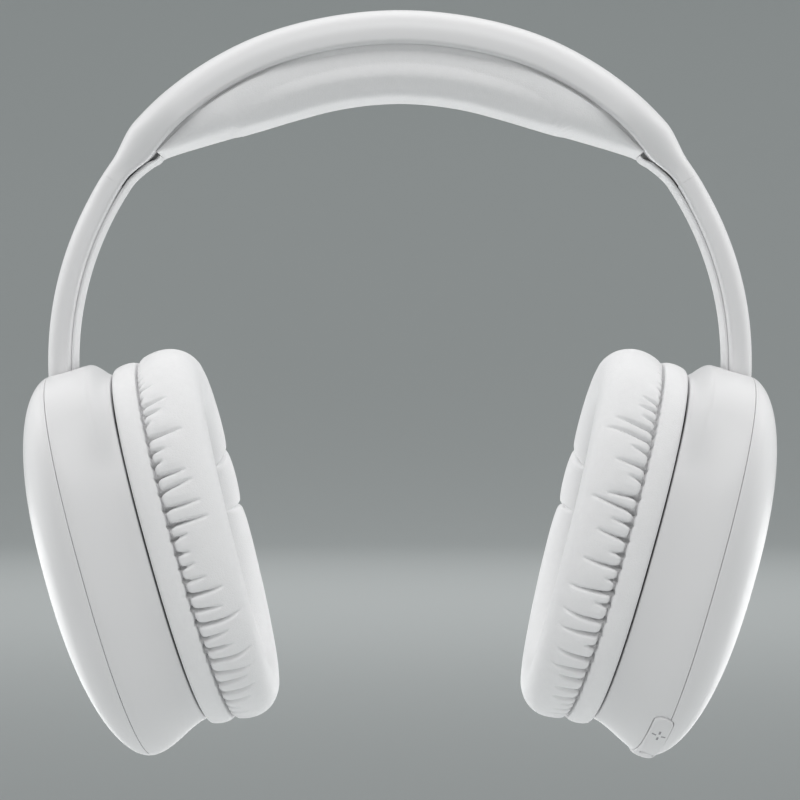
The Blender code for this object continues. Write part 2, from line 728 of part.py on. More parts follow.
def cushion_ring_at(side, share, level):
    """A ring between the cushion's outer oval, share 0, and the ear opening, share 1.

    The roll is a little taller over the top of the ear than under it.
    """
    half_width = blend(CUSHION_HALF_WIDTH, EAR_HALF_WIDTH, share)
    half_height = blend(CUSHION_HALF_HEIGHT, EAR_HALF_HEIGHT, share)
    lean = CUSHION_LEAN * (level / CREST_LEVEL) ** 2
    ring = []
    for angle in circle_angles(CUP_SEGMENTS):
        along, across = oval(angle, half_width, half_height)
        ring.append(cup_point(side, level * MM - lean * cos(angle), along + CUSHION_RISE, across))
    return ring


def add_cushion(side, word):
    """The ear cushion, its mounting ring and the cloth behind the ear opening."""
    body = word + "_cup"
    base = [(0.33, -0.9), (0.14, -0.9), (0.06, -3.0), (0.09, -6.4), (0.01, -9.0), (0.02, -13.0)]
    roll = [(0.18, -17.2), (0.5, CREST_LEVEL), (0.82, -17.2), (1.0, -12.0), (1.0, -3.2), (0.33, -3.2)]
    rings = [cushion_ring_at(side, share, level) for share, level in base + roll]
    add(word + "_ear_cushion", rings, "pad", body, looped=True)
    hoop = [(0.37, -0.85), (0.37, -2.8), (0.97, -2.8), (0.97, -0.85)]
    rings = [cushion_ring_at(side, share, level) for share, level in hoop]
    add(word + "_cushion_ring", rings, "plastic", body, looped=True)
    cloth = [oval_ring(side, level * MM, 24.0 * MM, 33.0 * MM, 28) for level in (-0.5, -0.15)]
    add(word + "_acoustic_cloth", cloth, "cloth", body, round_shape=False)


def slab(side, low, high, half_height, half_width):
    """A flat block square to the cup's axis."""
    rings = []
    for level in (low, high):
        corners = [(-half_height, -half_width), (-half_height, half_width)]
        corners.extend([(half_height, half_width), (half_height, -half_width)])
        rings.append([cup_point(side, level, along, across) for along, across in corners])
    return rings


# ---------------------------------------------------------------- rim fittings on the right cup

def rim_frame(level, angle):
    """The rim's surface point, outward direction and sideways direction on the right cup."""
    step = radians(0.5)
    here = casing_point(1.0, level, angle)
    side_way = (casing_point(1.0, level, angle + step) - casing_point(1.0, level, angle - step)).normalized()
    axis = (cup_point(1.0, MM, 0.0, 0.0) - cup_point(1.0, 0.0, 0.0, 0.0)).normalized()
    outward = axis.cross(side_way).normalized()
    if outward.dot(here - cup_point(1.0, level, 0.0, 0.0)) < 0.0:
        outward = -outward
    return here, outward, side_way, axis


def rim_angle(distance):
    """The oval's angle at a distance along the rim from the round button."""
    step = copysign(radians(0.25), distance)
    angle = BUTTON_ANGLE
    travelled = 0.0
    last = casing_point(1.0, BUTTON_LEVEL, angle)
    while travelled < abs(distance):
        angle += step
        here = casing_point(1.0, BUTTON_LEVEL, angle)
        travelled += (here - last).length
        last = here
    return angle


def rim_offset_point(distance, sideways, outset):
    """A point over the rim: distance along it, sideways towards the cover, outset above its surface."""
    angle = rim_angle(distance)
    here, outward, _, axis = rim_frame(BUTTON_LEVEL, angle)
    if outset > 0.0:
        surface = casing_point(1.0, BUTTON_LEVEL + sideways, angle)
        outset += (surface - here).dot(outward)
    return here + axis * sideways + outward * outset


def pill_stations(half_length, half_width):
    """Distances along a pill and its half width at each: round ends and a straight middle."""
    straight = half_length - half_width
    turns = [radians(a) for a in (80.0, 55.0, 28.0)]
    ends = [(straight + half_width * sin(a), half_width * cos(a)) for a in turns]
    middle = [(d, half_width) for d in spread(-straight, straight, 11)]
    return [(-d, w) for d, w in ends] + middle + [(d, w) for d, w in reversed(ends)]


def add_rocker():
    """The volume rocker: one long pill with a round hole for the power button."""
    rings = []
    for distance, half in pill_stations(ROCKER_HALF_LENGTH, ROCKER_HALF_WIDTH):
        crown = [(-half, 0.2 * MM), (-0.7 * half, ROCKER_PROUD), (0.7 * half, ROCKER_PROUD), (half, 0.2 * MM)]
        section = [(-half, -ROCKER_DEPTH), *crown, (half, -ROCKER_DEPTH)]
        rings.append([rim_offset_point(distance, out, up) for out, up in section])
    rocker = add("volume_rocker", rings, "rubber", "volume_rocker")
    hole = stub(BUTTON_LEVEL, BUTTON_ANGLE, POWER_HOLE, -6.0 * MM, 4.0 * MM)
    combine(rocker, add_tool("rocker_hole", [(hole, False)]), "DIFFERENCE")


def rocker_window():
    rings = []
    clear = WINDOW_CLEARANCE
    for distance, half in pill_stations(ROCKER_HALF_LENGTH + clear, ROCKER_HALF_WIDTH + clear):
        section = [(-half, -5.5 * MM), (-half, 4.0 * MM), (half, 4.0 * MM), (half, -5.5 * MM)]
        rings.append([rim_offset_point(distance, out, up) for out, up in section])
    return rings


def stub(level, angle, radius, low, high, count=12):
    """A cylinder square to the rim, between two distances above its surface."""
    here, outward, side_way, axis = rim_frame(level, angle)
    rings = []
    for distance in (low, high):
        ring = []
        for turn in circle_angles(count):
            ring.append(here + outward * distance + side_way * radius * cos(turn) + axis * radius * sin(turn))
        rings.append(ring)
    return rings


def block(level, angle, half_long, half_short, low, high):
    """A box square to the rim, longer along it."""
    here, outward, side_way, axis = rim_frame(level, angle)
    rings = []
    for distance in (low, high):
        corners = [(-half_long, -half_short), (half_long, -half_short)]
        corners.extend([(half_long, half_short), (-half_long, half_short)])
        rings.append([here + outward * distance + side_way * a + axis * b for a, b in corners])
    return rings


def stadium(level, angle, half_long, half_short, low, high):
    """A prism square to the rim, longer along it, with round ends."""
    here, outward, side_way, axis = rim_frame(level, angle)
    straight = half_long - half_short
    rings = []
    for distance in (low, high):
        ring = []
        for turn in circle_angles(12):
            shifted = turn + radians(15.0)
            sideways = half_short * cos(shifted) + copysign(straight, cos(shifted))
            ring.append(here + outward * distance + side_way * sideways + axis * half_short * sin(shifted))
        rings.append(ring)
    return rings


def add_controls():
    """The rocker, the power button in it, their switches and the strip that carries the switches."""
    add_rocker()
    button = stub(BUTTON_LEVEL, BUTTON_ANGLE, POWER_RADIUS, -4.4 * MM, ROCKER_PROUD)
    button.extend([stub(BUTTON_LEVEL, BUTTON_ANGLE, 0.8 * POWER_RADIUS, 0.0, ROCKER_PROUD + 0.25 * MM)[1]])
    add("power_button", button, "rubber", "power_button")
    keys = (("plus", -KEY_SPACING, -3.8), ("power", 0.0, -5.1), ("minus", KEY_SPACING, -3.8))
    for word, distance, top in keys:
        angle = rim_angle(distance) if distance else BUTTON_ANGLE
        switch = block(BUTTON_LEVEL, angle, 1.7 * MM, 1.7 * MM, -6.4 * MM, top * MM)
        add("tact_switch_" + word, switch, "plastic", "right_cup", round_shape=False)
    strip = []
    for distance in spread(-16.0 * MM, 16.0 * MM, 9):
        corners = [(-2.2 * MM, -7.7 * MM), (-2.2 * MM, -6.8 * MM), (2.2 * MM, -6.8 * MM), (2.2 * MM, -7.7 * MM)]
        strip.append([rim_offset_point(distance, out, up) for out, up in corners])
    add("switch_strip", strip, "board", "right_cup", round_shape=False)


def add_ports(shell):
    """Charging socket, headphone socket and microphone, each in its own hole in the casing."""
    usb_body = stadium(PORT_LEVEL, USB_ANGLE, USB_HALF_LENGTH, USB_HALF_HEIGHT, -8.0 * MM, PORT_FACE)
    usb = add("usb_port", usb_body, "steel", "right_cup")
    well_length = USB_HALF_LENGTH - USB_WALL
    usb_well = stadium(PORT_LEVEL, USB_ANGLE, well_length, USB_HALF_HEIGHT - USB_WALL, -6.6 * MM, MM)
    combine(usb, add_tool("usb_well", [(usb_well, False)]), "DIFFERENCE")
    tongue = block(PORT_LEVEL, USB_ANGLE, TONGUE_HALF_LENGTH, TONGUE_HALF_HEIGHT, -7.0 * MM, -1.7 * MM)
    combine(usb, add_tool("usb_tongue", [(tongue, False)]), "UNION")
    jack_body = stub(PORT_LEVEL, JACK_ANGLE, JACK_RADIUS, -12.0 * MM, PORT_FACE)
    jack = add("aux_jack", jack_body, "plastic", "right_cup")
    bore = stub(PORT_LEVEL, JACK_ANGLE, JACK_BORE, -11.0 * MM, MM)
    combine(jack, add_tool("jack_bore", [(bore, False)]), "DIFFERENCE")
    add("microphone", stub(PORT_LEVEL, MIC_ANGLE, MIC_RADIUS, -5.4 * MM, -3.7 * MM), "magnet", "right_cup")
    usb_hole = stadium(PORT_LEVEL, USB_ANGLE, USB_HALF_LENGTH + GAP, USB_HALF_HEIGHT + GAP, -6.0 * MM, 3.0 * MM)
    holes = [
        (usb_hole, False),
        (stub(PORT_LEVEL, JACK_ANGLE, JACK_RADIUS + GAP, -6.0 * MM, 3.0 * MM), False),
        (stub(PORT_LEVEL, MIC_ANGLE, MIC_HOLE, -5.0 * MM, 3.0 * MM, 8), False),
    ]
    combine(shell, add_tool("port_holes", holes), "DIFFERENCE")


# ---------------------------------------------------------------- assembly

add_body("headband", Vector((0.0, 0.0, 0.0)))
for side_word, side_sign in SIDES.items():
    add_body(side_word + "_arm", slide_centre(side_sign))
    add_body(side_word + "_cup", pivot_point(side_sign), side_word + "_arm")
power_place, power_out, _, _ = rim_frame(BUTTON_LEVEL, BUTTON_ANGLE)
add_body("volume_rocker", power_place - power_out * 2.5 * MM, "right_cup")
add_body("power_button", power_place, "right_cup")

add_headband()
casings = {}
covers = {}
for side_word, side_sign in SIDES.items():
    add_slider_guide(side_sign, side_word)
    add_detent_spring(side_sign, side_word)
    add_arm(side_sign, side_word)
    add_arm_foot(side_sign, side_word)
    add_pivot(side_sign, side_word)
    casings[side_word] = add_cup_shell(side_sign, side_word)
    covers[side_word] = add_outer_cover(side_sign, side_word)
    add_baffle(side_sign, side_word)
    add_driver(side_sign, side_word)
    add_cushion(side_sign, side_word)

for side_word, side_sign in SIDES.items():
    slot = add_tool(side_word + "_arm_slot", [(arm_slot(side_sign), False)])
    combine(casings[side_word], slot, "DIFFERENCE")
    combine(covers[side_word], slot, "DIFFERENCE")
window = add_tool("rocker_window", [(rocker_window(), False)])
combine(casings["right"], window, "DIFFERENCE")
combine(covers["right"], window, "DIFFERENCE")
add_controls()
add_ports(casings["right"])
board = slab(1.0, *BOARD_LEVELS, *BOARD_HALF_SIZE)
add("main_board", board, "board", "right_cup", round_shape=False)
cell = slab(-1.0, *CELL_LEVELS, *CELL_HALF_SIZE)
add("battery", cell, "cell", "left_cup", round_shape=False)
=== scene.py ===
"""Looks of the over-ear headphones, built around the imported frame.

Metres, +Z up, in the frame of the CAD: +X towards the wearer's right, +Y the way the wearer faces.
The visible shells, pads and buttons are fine meshes that follow the CAD's own curves, to within
about 2 mm at the pad's tips and much closer elsewhere.
"""

import json
from math import asin, cos, pi, radians, sin

import bmesh
import bpy
import numpy as np
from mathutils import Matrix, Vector


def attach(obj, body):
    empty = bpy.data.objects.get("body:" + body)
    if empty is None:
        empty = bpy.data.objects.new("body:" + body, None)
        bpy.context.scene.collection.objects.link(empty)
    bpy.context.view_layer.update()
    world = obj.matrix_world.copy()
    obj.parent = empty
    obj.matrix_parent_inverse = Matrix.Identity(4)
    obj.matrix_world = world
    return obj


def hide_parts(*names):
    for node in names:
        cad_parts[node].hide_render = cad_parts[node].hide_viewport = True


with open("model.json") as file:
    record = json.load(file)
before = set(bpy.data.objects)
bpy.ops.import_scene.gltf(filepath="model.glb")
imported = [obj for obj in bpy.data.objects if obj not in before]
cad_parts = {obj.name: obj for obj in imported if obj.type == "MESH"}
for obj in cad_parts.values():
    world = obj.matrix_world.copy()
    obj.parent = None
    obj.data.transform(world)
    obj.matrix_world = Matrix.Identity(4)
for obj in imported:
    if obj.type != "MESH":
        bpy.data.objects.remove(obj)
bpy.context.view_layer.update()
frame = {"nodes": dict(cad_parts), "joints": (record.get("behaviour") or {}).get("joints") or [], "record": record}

MM = 0.001
SIDES = {"left": -1.0, "right": 1.0}
JOINTS = {joint["name"]: joint for joint in frame["joints"]}
MOUNTS = {mount["name"]: mount for mount in frame["record"]["mounts"]}

# Headband curve: its centres are the arms' own hinge points.
ARC_SHIFT = JOINTS["right_arm_slide"]["pos_m"][0]
ARC_HEIGHT = JOINTS["right_arm_slide"]["pos_m"][2]
ARC_BLEND = radians(25.0)
BAND_OUTER = 83.5 * MM
BAND_HALF_WIDTH = 14.0 * MM
BAND_LIP = 74.0 * MM
BAND_END = radians(57.0)
BAND_WALL = 1.9 * MM
LIP_RISE = 2.1 * MM
LIP_BOXINESS = 0.32
BAND_ROUNDNESS = 0.84
ARM_ROUNDNESS = 0.95
ARM_BOXINESS = 0.42
ARM_ROOT = 0.3
CHANNEL_TOP = 81.6 * MM
CHANNEL_CORNER = 1.6 * MM
PLATE_LOW = 75.95 * MM
PLUG = (radians(48.25), radians(51.0))
PLUG_INSET = 0.3 * MM
NECK_OUTER = 81.8 * MM
NECK_HALF_WIDTH = 6.7 * MM
NECK_LIP = 75.9 * MM
NECK_CHANNEL_TOP = 80.5 * MM
NECK_CHANNEL_HALF_WIDTH = 5.0 * MM
SHOULDER = (radians(47.0), radians(54.5))
LIP_SHOULDER = (radians(49.0), radians(56.0))
NARROWING = (radians(40.0), radians(56.0))

# Head pad.
PAD_TOP = 75.3 * MM
PAD_NECK = 73.9 * MM
PAD_BOTTOM = 62.7 * MM
PAD_TIP = 73.2 * MM
PAD_HALF_WIDTH = 13.2 * MM
PAD_END_HALF_WIDTH = 8.8 * MM
PAD_END = radians(48.2)
PAD_STRAIGHT_START = radians(17.0)
PAD_TAPER_START = radians(33.0)
PAD_FLATTER = (radians(12.0), radians(30.0))
PAD_NECK_STEP = 0.6 * MM
PAD_NECK_CLEARANCE = 0.5 * MM
PAD_LOWER_ROUNDNESS = 0.75
PAD_FRONT_ROUNDNESS = 0.42
PAD_VALLEY = 0.7 * MM
PAD_VALLEY_AT = 0.8
PAD_VALLEY_SPREAD = 0.1
PAD_RECESS = 0.15
PAD_END_RECESS = 0.2 * PAD_RECESS
PAD_FILLING = (0.05, 0.72)

# Arms.
ARM_INNER = 75.7 * MM
ARM_OUTER = 81.8 * MM
ARM_HALF_WIDTH = 6.5 * MM
ARM_START = BAND_END + radians(0.015)
ARM_SETTLED = radians(63.0)
ARM_END = radians(93.0)
LINER_LOW = 74.9 * MM
LINER_HIGH = 75.88 * MM
LINER_HALF_WIDTH = 4.4 * MM
LINER_START = radians(48.25)
LINER_FULL = radians(51.0)
LINER_SEATED = radians(55.5)
LINER_GAP = (0.75 * MM, -0.25 * MM)
LINER_TIP = 0.3 * MM
SLOT_CLEARANCE = 0.95 * MM
SLOT_INNER_CLEARANCE = 1.7 * MM
SLOT_SIDE_CLEARANCE = 0.6 * MM
SLOT_HEIGHTS = (-60.0 * MM, -71.5 * MM)
SLOT_ROUNDNESS = 0.6

# Cup frame: level runs out along the cup's axis from the cushion joint, along runs up the cup.
CUP_AXIS = Vector(MOUNTS["right_cup_flat"]["axis"])
CUP_TILT = -asin(CUP_AXIS.z)
CROWN = 27.4 * MM
CUP_DISTANCE = 83.8 * MM
CUP_CENTRE = -88.4 * MM
RIM_HALF_WIDTH = 39.0 * MM
RIM_HALF_HEIGHT = 46.9 * MM
OVAL_POWER = 2.3
DOME_POWER = 2.4
ROUND_START = 14.0 * MM
CUP_SEAM = 14.7 * MM
SEAM_GAP = 0.11 * MM
SEAM_EDGE = 0.14 * MM
BASE_EDGE = 0.3 * MM
INNER_BEND = 12.0 * MM
CUP_WALL = 2.0 * MM
TOP_WAIST = 3.8 * MM
TOP_WAIST_RISE = 5.0 * MM
SIDE_WAIST = 5.1 * MM
WAIST_TURN = (radians(40.0), radians(64.0))

# Ear cushion.
CUSHION_HALF_WIDTH = 36.6 * MM
CUSHION_HALF_HEIGHT = 45.0 * MM
CUSHION_RISE = 0.4 * MM
EAR_HALF_WIDTH = 20.5 * MM
EAR_HALF_HEIGHT = 29.5 * MM
CUSHION_LEAN = 1.3 * MM
CREST_LEVEL = -18.9
CUSHION_COLUMNS = 1400
CUSHION_SWELL = 0.9 * MM
# In mm from the seam: where the cover starts and ends to swell. A dip this deep is held fully.
SWELL_START = (0.4, 2.2)
SWELL_END = (26.0, 29.0)
HELD_DIP = 0.7
PAD_SWELL = 0.5 * MM
PAD_HELD = (radians(26.0), radians(46.0))

# Controls along the bottom front of the right cup.
BUTTON_ANGLE = radians(162.1)
BUTTON_LEVEL = 13.4 * MM
ROCKER_HALF_LENGTH = 18.4 * MM
ROCKER_HALF_WIDTH = 2.3 * MM
ROCKER_PROUD = 0.7 * MM
ROCKER_DEPTH = 3.0 * MM
KEY_SPACING = 12.4 * MM
WINDOW_CLEARANCE = 0.16 * MM
POWER_RADIUS = 1.45 * MM
POWER_HOLE = 1.75 * MM
PORT_LEVEL = 9.5 * MM
USB_ANGLE = radians(203.0)
JACK_ANGLE = radians(221.0)
MIC_ANGLE = radians(241.0)
USB_HALF_LENGTH = 4.8 * MM
USB_HALF_HEIGHT = 1.9 * MM
JACK_RADIUS = 2.9 * MM
JACK_BORE = 1.8 * MM
JACK_HOLE = 3.2 * MM
MIC_HOLE = 0.6 * MM

# Camera: it stands where the whole set just fills the frame, level with the cups' upper third.
CAMERA_DISTANCE = 560.0 * MM
CAMERA_HEIGHT = -72.2 * MM
LENS = 105.0
SENSOR = 36.0


# ---------------------------------------------------------------- small helpers

def smooth(value, low, high):
    """0 below low, 1 above high, and an even rise between them."""
    x = np.clip((value - low) / (high - low), 0.0, 1.0)
    return x * x * (3.0 - 2.0 * x)


def blend(first, second, amount):
    return first + (second - first) * amount


def signed_power(value, power):
    return np.sign(value) * np.abs(value) ** power


def turns(count):
    return np.arange(count) * (2.0 * pi / count)


def points_of(x, y, z):
    return np.stack(np.broadcast_arrays(x, y, z), axis=-1)


def smooth_line(controls, count):
    """Even points along a smooth curve through the controls."""
    knots = np.array(controls, float)
    ends = np.vstack([2.0 * knots[0] - knots[1], knots, 2.0 * knots[-1] - knots[-2]])
    fine = []
    for i in range(1, len(ends) - 2):
        before, here, there, after = ends[i - 1:i + 3]
        for t in np.linspace(0.0, 1.0, 16, endpoint=False):
            pull = (2.0 * before - 5.0 * here + 4.0 * there - after) * t * t
            swing = (3.0 * here - before - 3.0 * there + after) * t ** 3
            fine.append(0.5 * (2.0 * here + (there - before) * t + pull + swing))
    fine.append(knots[-1])
    fine = np.array(fine)
    travelled = np.concatenate([[0.0], np.cumsum(np.linalg.norm(np.diff(fine, axis=0), axis=1))])
    wanted = np.linspace(0.0, travelled[-1], count)
    columns = [np.interp(wanted, travelled, fine[:, k]) for k in range(fine.shape[1])]
    return np.stack(columns, axis=-1)


# ---------------------------------------------------------------- materials

class Finish:
    """A node material under construction: a Principled shader with position-based patterns."""

    def __init__(self, name, colour, roughness, metallic=0.0):
        self.material = bpy.data.materials.new(name)
        self.material.use_nodes = True
        self.nodes = self.material.node_tree.nodes
        self.links = self.material.node_tree.links
        self.shader = self.nodes["Principled BSDF"]
        self.shader.inputs["Base Color"].default_value = (*colour, 1.0)
        self.shader.inputs["Roughness"].default_value = roughness
        self.shader.inputs["Metallic"].default_value = metallic
        self.place = self.nodes.new("ShaderNodeTexCoord").outputs["Object"]
        self.height = None

    def set(self, socket, value):
        self.shader.inputs[socket].default_value = value

    def stretched(self, scale):
        mapping = self.nodes.new("ShaderNodeMapping")
        mapping.inputs["Scale"].default_value = scale
        self.links.new(self.place, mapping.inputs["Vector"])
        return mapping.outputs["Vector"]

    def noise(self, scale, detail=3.0, stretch=None):
        node = self.nodes.new("ShaderNodeTexNoise")
        node.inputs["Scale"].default_value = scale
        node.inputs["Detail"].default_value = detail
        self.links.new(self.stretched(stretch) if stretch else self.place, node.inputs["Vector"])
        return node.outputs["Fac"]

    def cells(self, scale, feature="DISTANCE_TO_EDGE"):
        node = self.nodes.new("ShaderNodeTexVoronoi")
        node.feature = feature
        node.inputs["Scale"].default_value = scale
        self.links.new(self.place, node.inputs["Vector"])
        return node.outputs["Distance"]

    def wave(self, scale, direction, stretch=None):
        node = self.nodes.new("ShaderNodeTexWave")
        node.bands_direction = direction
        node.inputs["Scale"].default_value = scale
        self.links.new(self.stretched(stretch) if stretch else self.place, node.inputs["Vector"])
        return node.outputs["Fac"]

    def ramp(self, value, low, high, start=0.0, end=1.0):
        node = self.nodes.new("ShaderNodeMapRange")
        node.inputs["From Min"].default_value = start
        node.inputs["From Max"].default_value = end
        node.inputs["To Min"].default_value = low
        node.inputs["To Max"].default_value = high
        self.links.new(value, node.inputs["Value"])
        return node.outputs["Result"]

    def join(self, first, second, operation="ADD"):
        node = self.nodes.new("ShaderNodeMath")
        node.operation = operation
        self.links.new(first, node.inputs[0])
        self.links.new(second, node.inputs[1])
        return node.outputs["Value"]

    def mix_colour(self, value, first, second):
        node = self.nodes.new("ShaderNodeMix")
        node.data_type = "RGBA"
        node.inputs["A"].default_value = (*first, 1.0)
        node.inputs["B"].default_value = (*second, 1.0)
        self.links.new(value, node.inputs["Factor"])
        self.links.new(node.outputs["Result"], self.shader.inputs["Base Color"])

    def roughness(self, value, low, high):
        self.links.new(self.ramp(value, low, high), self.shader.inputs["Roughness"])

    def bump(self, value, depth, strength=1.0):
        node = self.nodes.new("ShaderNodeBump")
        node.inputs["Distance"].default_value = depth
        node.inputs["Strength"].default_value = strength
        self.links.new(value, node.inputs["Height"])
        if self.height:
            self.links.new(self.height, node.inputs["Normal"])
        self.height = node.outputs["Normal"]
        self.links.new(self.height, self.shader.inputs["Normal"])


def satin_plastic(name, colour, roughness):
    """Moulded ABS with a spark-eroded satin: fine even grain, faint flow clouds, a soft sheen."""
    look = Finish(name, colour, roughness)
    look.set("IOR", 1.5)
    look.set("Specular IOR Level", 0.5)
    clouds = look.noise(28.0, 4.0)
    darker = tuple(0.965 * c for c in colour)
    look.mix_colour(clouds, darker, colour)
    look.roughness(look.noise(190.0, 3.0), roughness - 0.05, roughness + 0.07)
    look.bump(look.noise(5200.0, 2.0), 0.006 * MM)
    look.bump(look.noise(520.0, 2.0), 0.010 * MM)
    return look.material


def leatherette(name, colour):
    """Protein leather: pebbled grain with fine pores, soft sheen, and slight mottling."""
    look = Finish(name, colour, 0.5)
    look.set("Sheen Weight", 0.12)
    look.set("Sheen Roughness", 0.4)
    look.set("Specular IOR Level", 0.42)
    mottle = look.join(look.noise(75.0, 5.0), look.noise(620.0, 2.0), "MULTIPLY")
    darker = tuple(0.975 * c for c in colour)
    look.mix_colour(look.ramp(mottle, 0.0, 1.0, 0.1, 0.4), darker, colour)
    look.roughness(look.noise(900.0, 3.0), 0.44, 0.60)
    look.bump(look.ramp(look.cells(1500.0), 0.0, 1.0, 0.0, 0.12), 0.022 * MM)
    look.bump(look.noise(3400.0, 3.0), 0.016 * MM)
    look.bump(look.noise(160.0, 3.0), 0.008 * MM)
    return look.material


def soft_touch(name, colour):
    look = Finish(name, colour, 0.6)
    look.mix_colour(look.noise(60.0, 4.0), tuple(0.95 * c for c in colour), colour)
    look.roughness(look.noise(300.0, 2.0), 0.52, 0.68)
    look.bump(look.noise(4200.0, 2.0), 0.012 * MM)
    return look.material


def brushed_steel(name, colour, roughness):
    look = Finish(name, colour, roughness, 1.0)
    streaks = look.noise(260.0, 4.0, (0.06, 12.0, 0.06))
    look.mix_colour(streaks, tuple(0.82 * c for c in colour), colour)
    look.roughness(streaks, roughness - 0.06, roughness + 0.14)
    look.bump(streaks, 0.004 * MM)
    return look.material


def moulded_nylon(name, colour):
    look = Finish(name, colour, 0.5)
    look.mix_colour(look.noise(140.0, 5.0), tuple(0.82 * c for c in colour), colour)
    look.roughness(look.noise(800.0, 3.0), 0.42, 0.62)
    look.bump(look.noise(2600.0, 3.0), 0.02 * MM)
    return look.material


def plated(name, colour):
    look = Finish(name, colour, 0.3, 1.0)
    look.mix_colour(look.noise(90.0, 4.0), tuple(0.86 * c for c in colour), colour)
    look.roughness(look.noise(700.0, 3.0), 0.22, 0.42)
    look.bump(look.noise(1800.0, 2.0), 0.006 * MM)
    return look.material


def thin_film(name, colour):
    look = Finish(name, colour, 0.28)
    look.mix_colour(look.noise(220.0, 3.0), tuple(0.8 * c for c in colour), colour)
    look.roughness(look.noise(500.0, 2.0), 0.2, 0.36)
    look.bump(look.cells(400.0, "F1"), 0.05 * MM, 0.4)
    return look.material


def woven_cloth(name, colour):
    """A fine open weave: two crossing sets of threads."""
    look = Finish(name, colour, 0.9)
    warp = look.wave(420.0, "Y")
    weft = look.wave(420.0, "Z")
    weave = look.join(warp, weft, "MULTIPLY")
    look.mix_colour(weave, tuple(0.55 * c for c in colour), colour)
    look.bump(look.join(warp, weft, "ADD"), 0.06 * MM)
    look.set("Sheen Weight", 0.2)
    return look.material


def laminate(name, colour):
    """Solder mask over copper tracks."""
    look = Finish(name, colour, 0.35)
    tracks = look.wave(160.0, "DIAGONAL")
    look.mix_colour(look.ramp(tracks, 0.0, 1.0, 0.55, 0.7), colour, tuple(1.9 * c for c in colour))
    look.roughness(look.noise(400.0, 2.0), 0.28, 0.42)
    look.bump(look.ramp(tracks, 0.0, 1.0, 0.55, 0.7), 0.03 * MM)
    return look.material


def foil_pouch(name, colour):
    look = Finish(name, colour, 0.35, 0.7)
    look.mix_colour(look.noise(110.0, 3.0), tuple(0.88 * c for c in colour), colour)
    look.roughness(look.noise(420.0, 3.0), 0.28, 0.46)
    look.bump(look.noise(300.0, 3.0), 0.08 * MM)
    return look.material


LOOKS = {
    "white_shell": satin_plastic("white_shell", (0.80, 0.80, 0.805), 0.36),
    "white_cover": satin_plastic("white_cover", (0.81, 0.81, 0.815), 0.34),
    "white_leatherette": leatherette("white_leatherette", (0.90, 0.90, 0.905)),
    "soft_liner": soft_touch("soft_liner", (0.86, 0.86, 0.865)),
    "steel": brushed_steel("steel", (0.62, 0.62, 0.64), 0.28),
    "grey_plastic": moulded_nylon("grey_plastic", (0.32, 0.32, 0.33)),
    "plated_magnet": plated("plated_magnet", (0.50, 0.50, 0.52)),
    "driver_film": thin_film("driver_film", (0.20, 0.19, 0.18)),
    "acoustic_cloth": woven_cloth("acoustic_cloth", (0.70, 0.70, 0.71)),
    "circuit_board": laminate("circuit_board", (0.05, 0.20, 0.10)),
    "battery_cell": foil_pouch("battery_cell", (0.60, 0.61, 0.63)),
    "button_rubber": soft_touch("button_rubber", (0.80, 0.80, 0.805)),
    "legend": soft_touch("legend_grey", (0.32, 0.32, 0.33)),
}


def dress_cad_nodes():
    """Gives every node of the frame the material of its slot."""
    for part in frame["record"]["subparts"]:
        node = frame["nodes"][part["node"]]
        node.data.materials.clear()
        node.data.materials.append(LOOKS[part["material_slot"]])


# ---------------------------------------------------------------- meshes

def loft(name, grid, look, closed=False, sharp=35.0):
    """A mesh through rings of points: grid[ring, place]. Ends are capped, or joined if closed."""
    rings, count, _ = grid.shape
    index = np.arange(rings * count).reshape(rings, count)
    lower = index if closed else index[:-1]
    upper = np.roll(index, -1, axis=0) if closed else index[1:]
    corners = [lower, np.roll(lower, -1, axis=1), np.roll(upper, -1, axis=1), upper]
    quads = np.stack(corners, axis=-1)
    faces = quads.reshape(-1, 4).tolist()
    if not closed:
        faces.append(index[0][::-1].tolist())
        faces.append(index[-1].tolist())
    mesh = bpy.data.meshes.new(name)
    mesh.from_pydata(grid.reshape(-1, 3).tolist(), [], faces)
    tidy = bmesh.new()
    tidy.from_mesh(mesh)
    bmesh.ops.recalc_face_normals(tidy, faces=tidy.faces)
    tidy.to_mesh(mesh)
    tidy.free()
    mesh.shade_smooth()
    mesh.set_sharp_from_angle(angle=radians(sharp))
    mesh.materials.append(LOOKS[look])
    piece = bpy.data.objects.new(name, mesh)
    bpy.context.scene.collection.objects.link(piece)
    return piece


def settle(piece, body, slot, *nodes):
    """Puts a finished piece on its body, in place of the nodes it stands for. The slot is not used."""
    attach(piece, body)
    if nodes:
        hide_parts(*nodes)
    return piece


def apply_modifiers(piece):
    graph = bpy.context.evaluated_depsgraph_get()
    made = bpy.data.meshes.new_from_object(piece.evaluated_get(graph))
    old = piece.data
    piece.modifiers.clear()
    piece.data = made
    bpy.data.meshes.remove(old)


def cut(piece, tools, operation="DIFFERENCE"):
    """Cuts closed shapes out of a piece, or joins them to it, and removes the shapes."""
    for tool in tools:
        step = piece.modifiers.new("cut", "BOOLEAN")
        step.operation = operation
        step.solver = "EXACT"
        step.object = tool
    apply_modifiers(piece)
    for tool in tools:
        bpy.data.objects.remove(tool, do_unlink=True)
    piece.data.shade_smooth()
    piece.data.set_sharp_from_angle(angle=radians(35.0))


# ---------------------------------------------------------------- cloth

CLOTH_SCALE = 20.0
CLOTH_FRAMES = 12


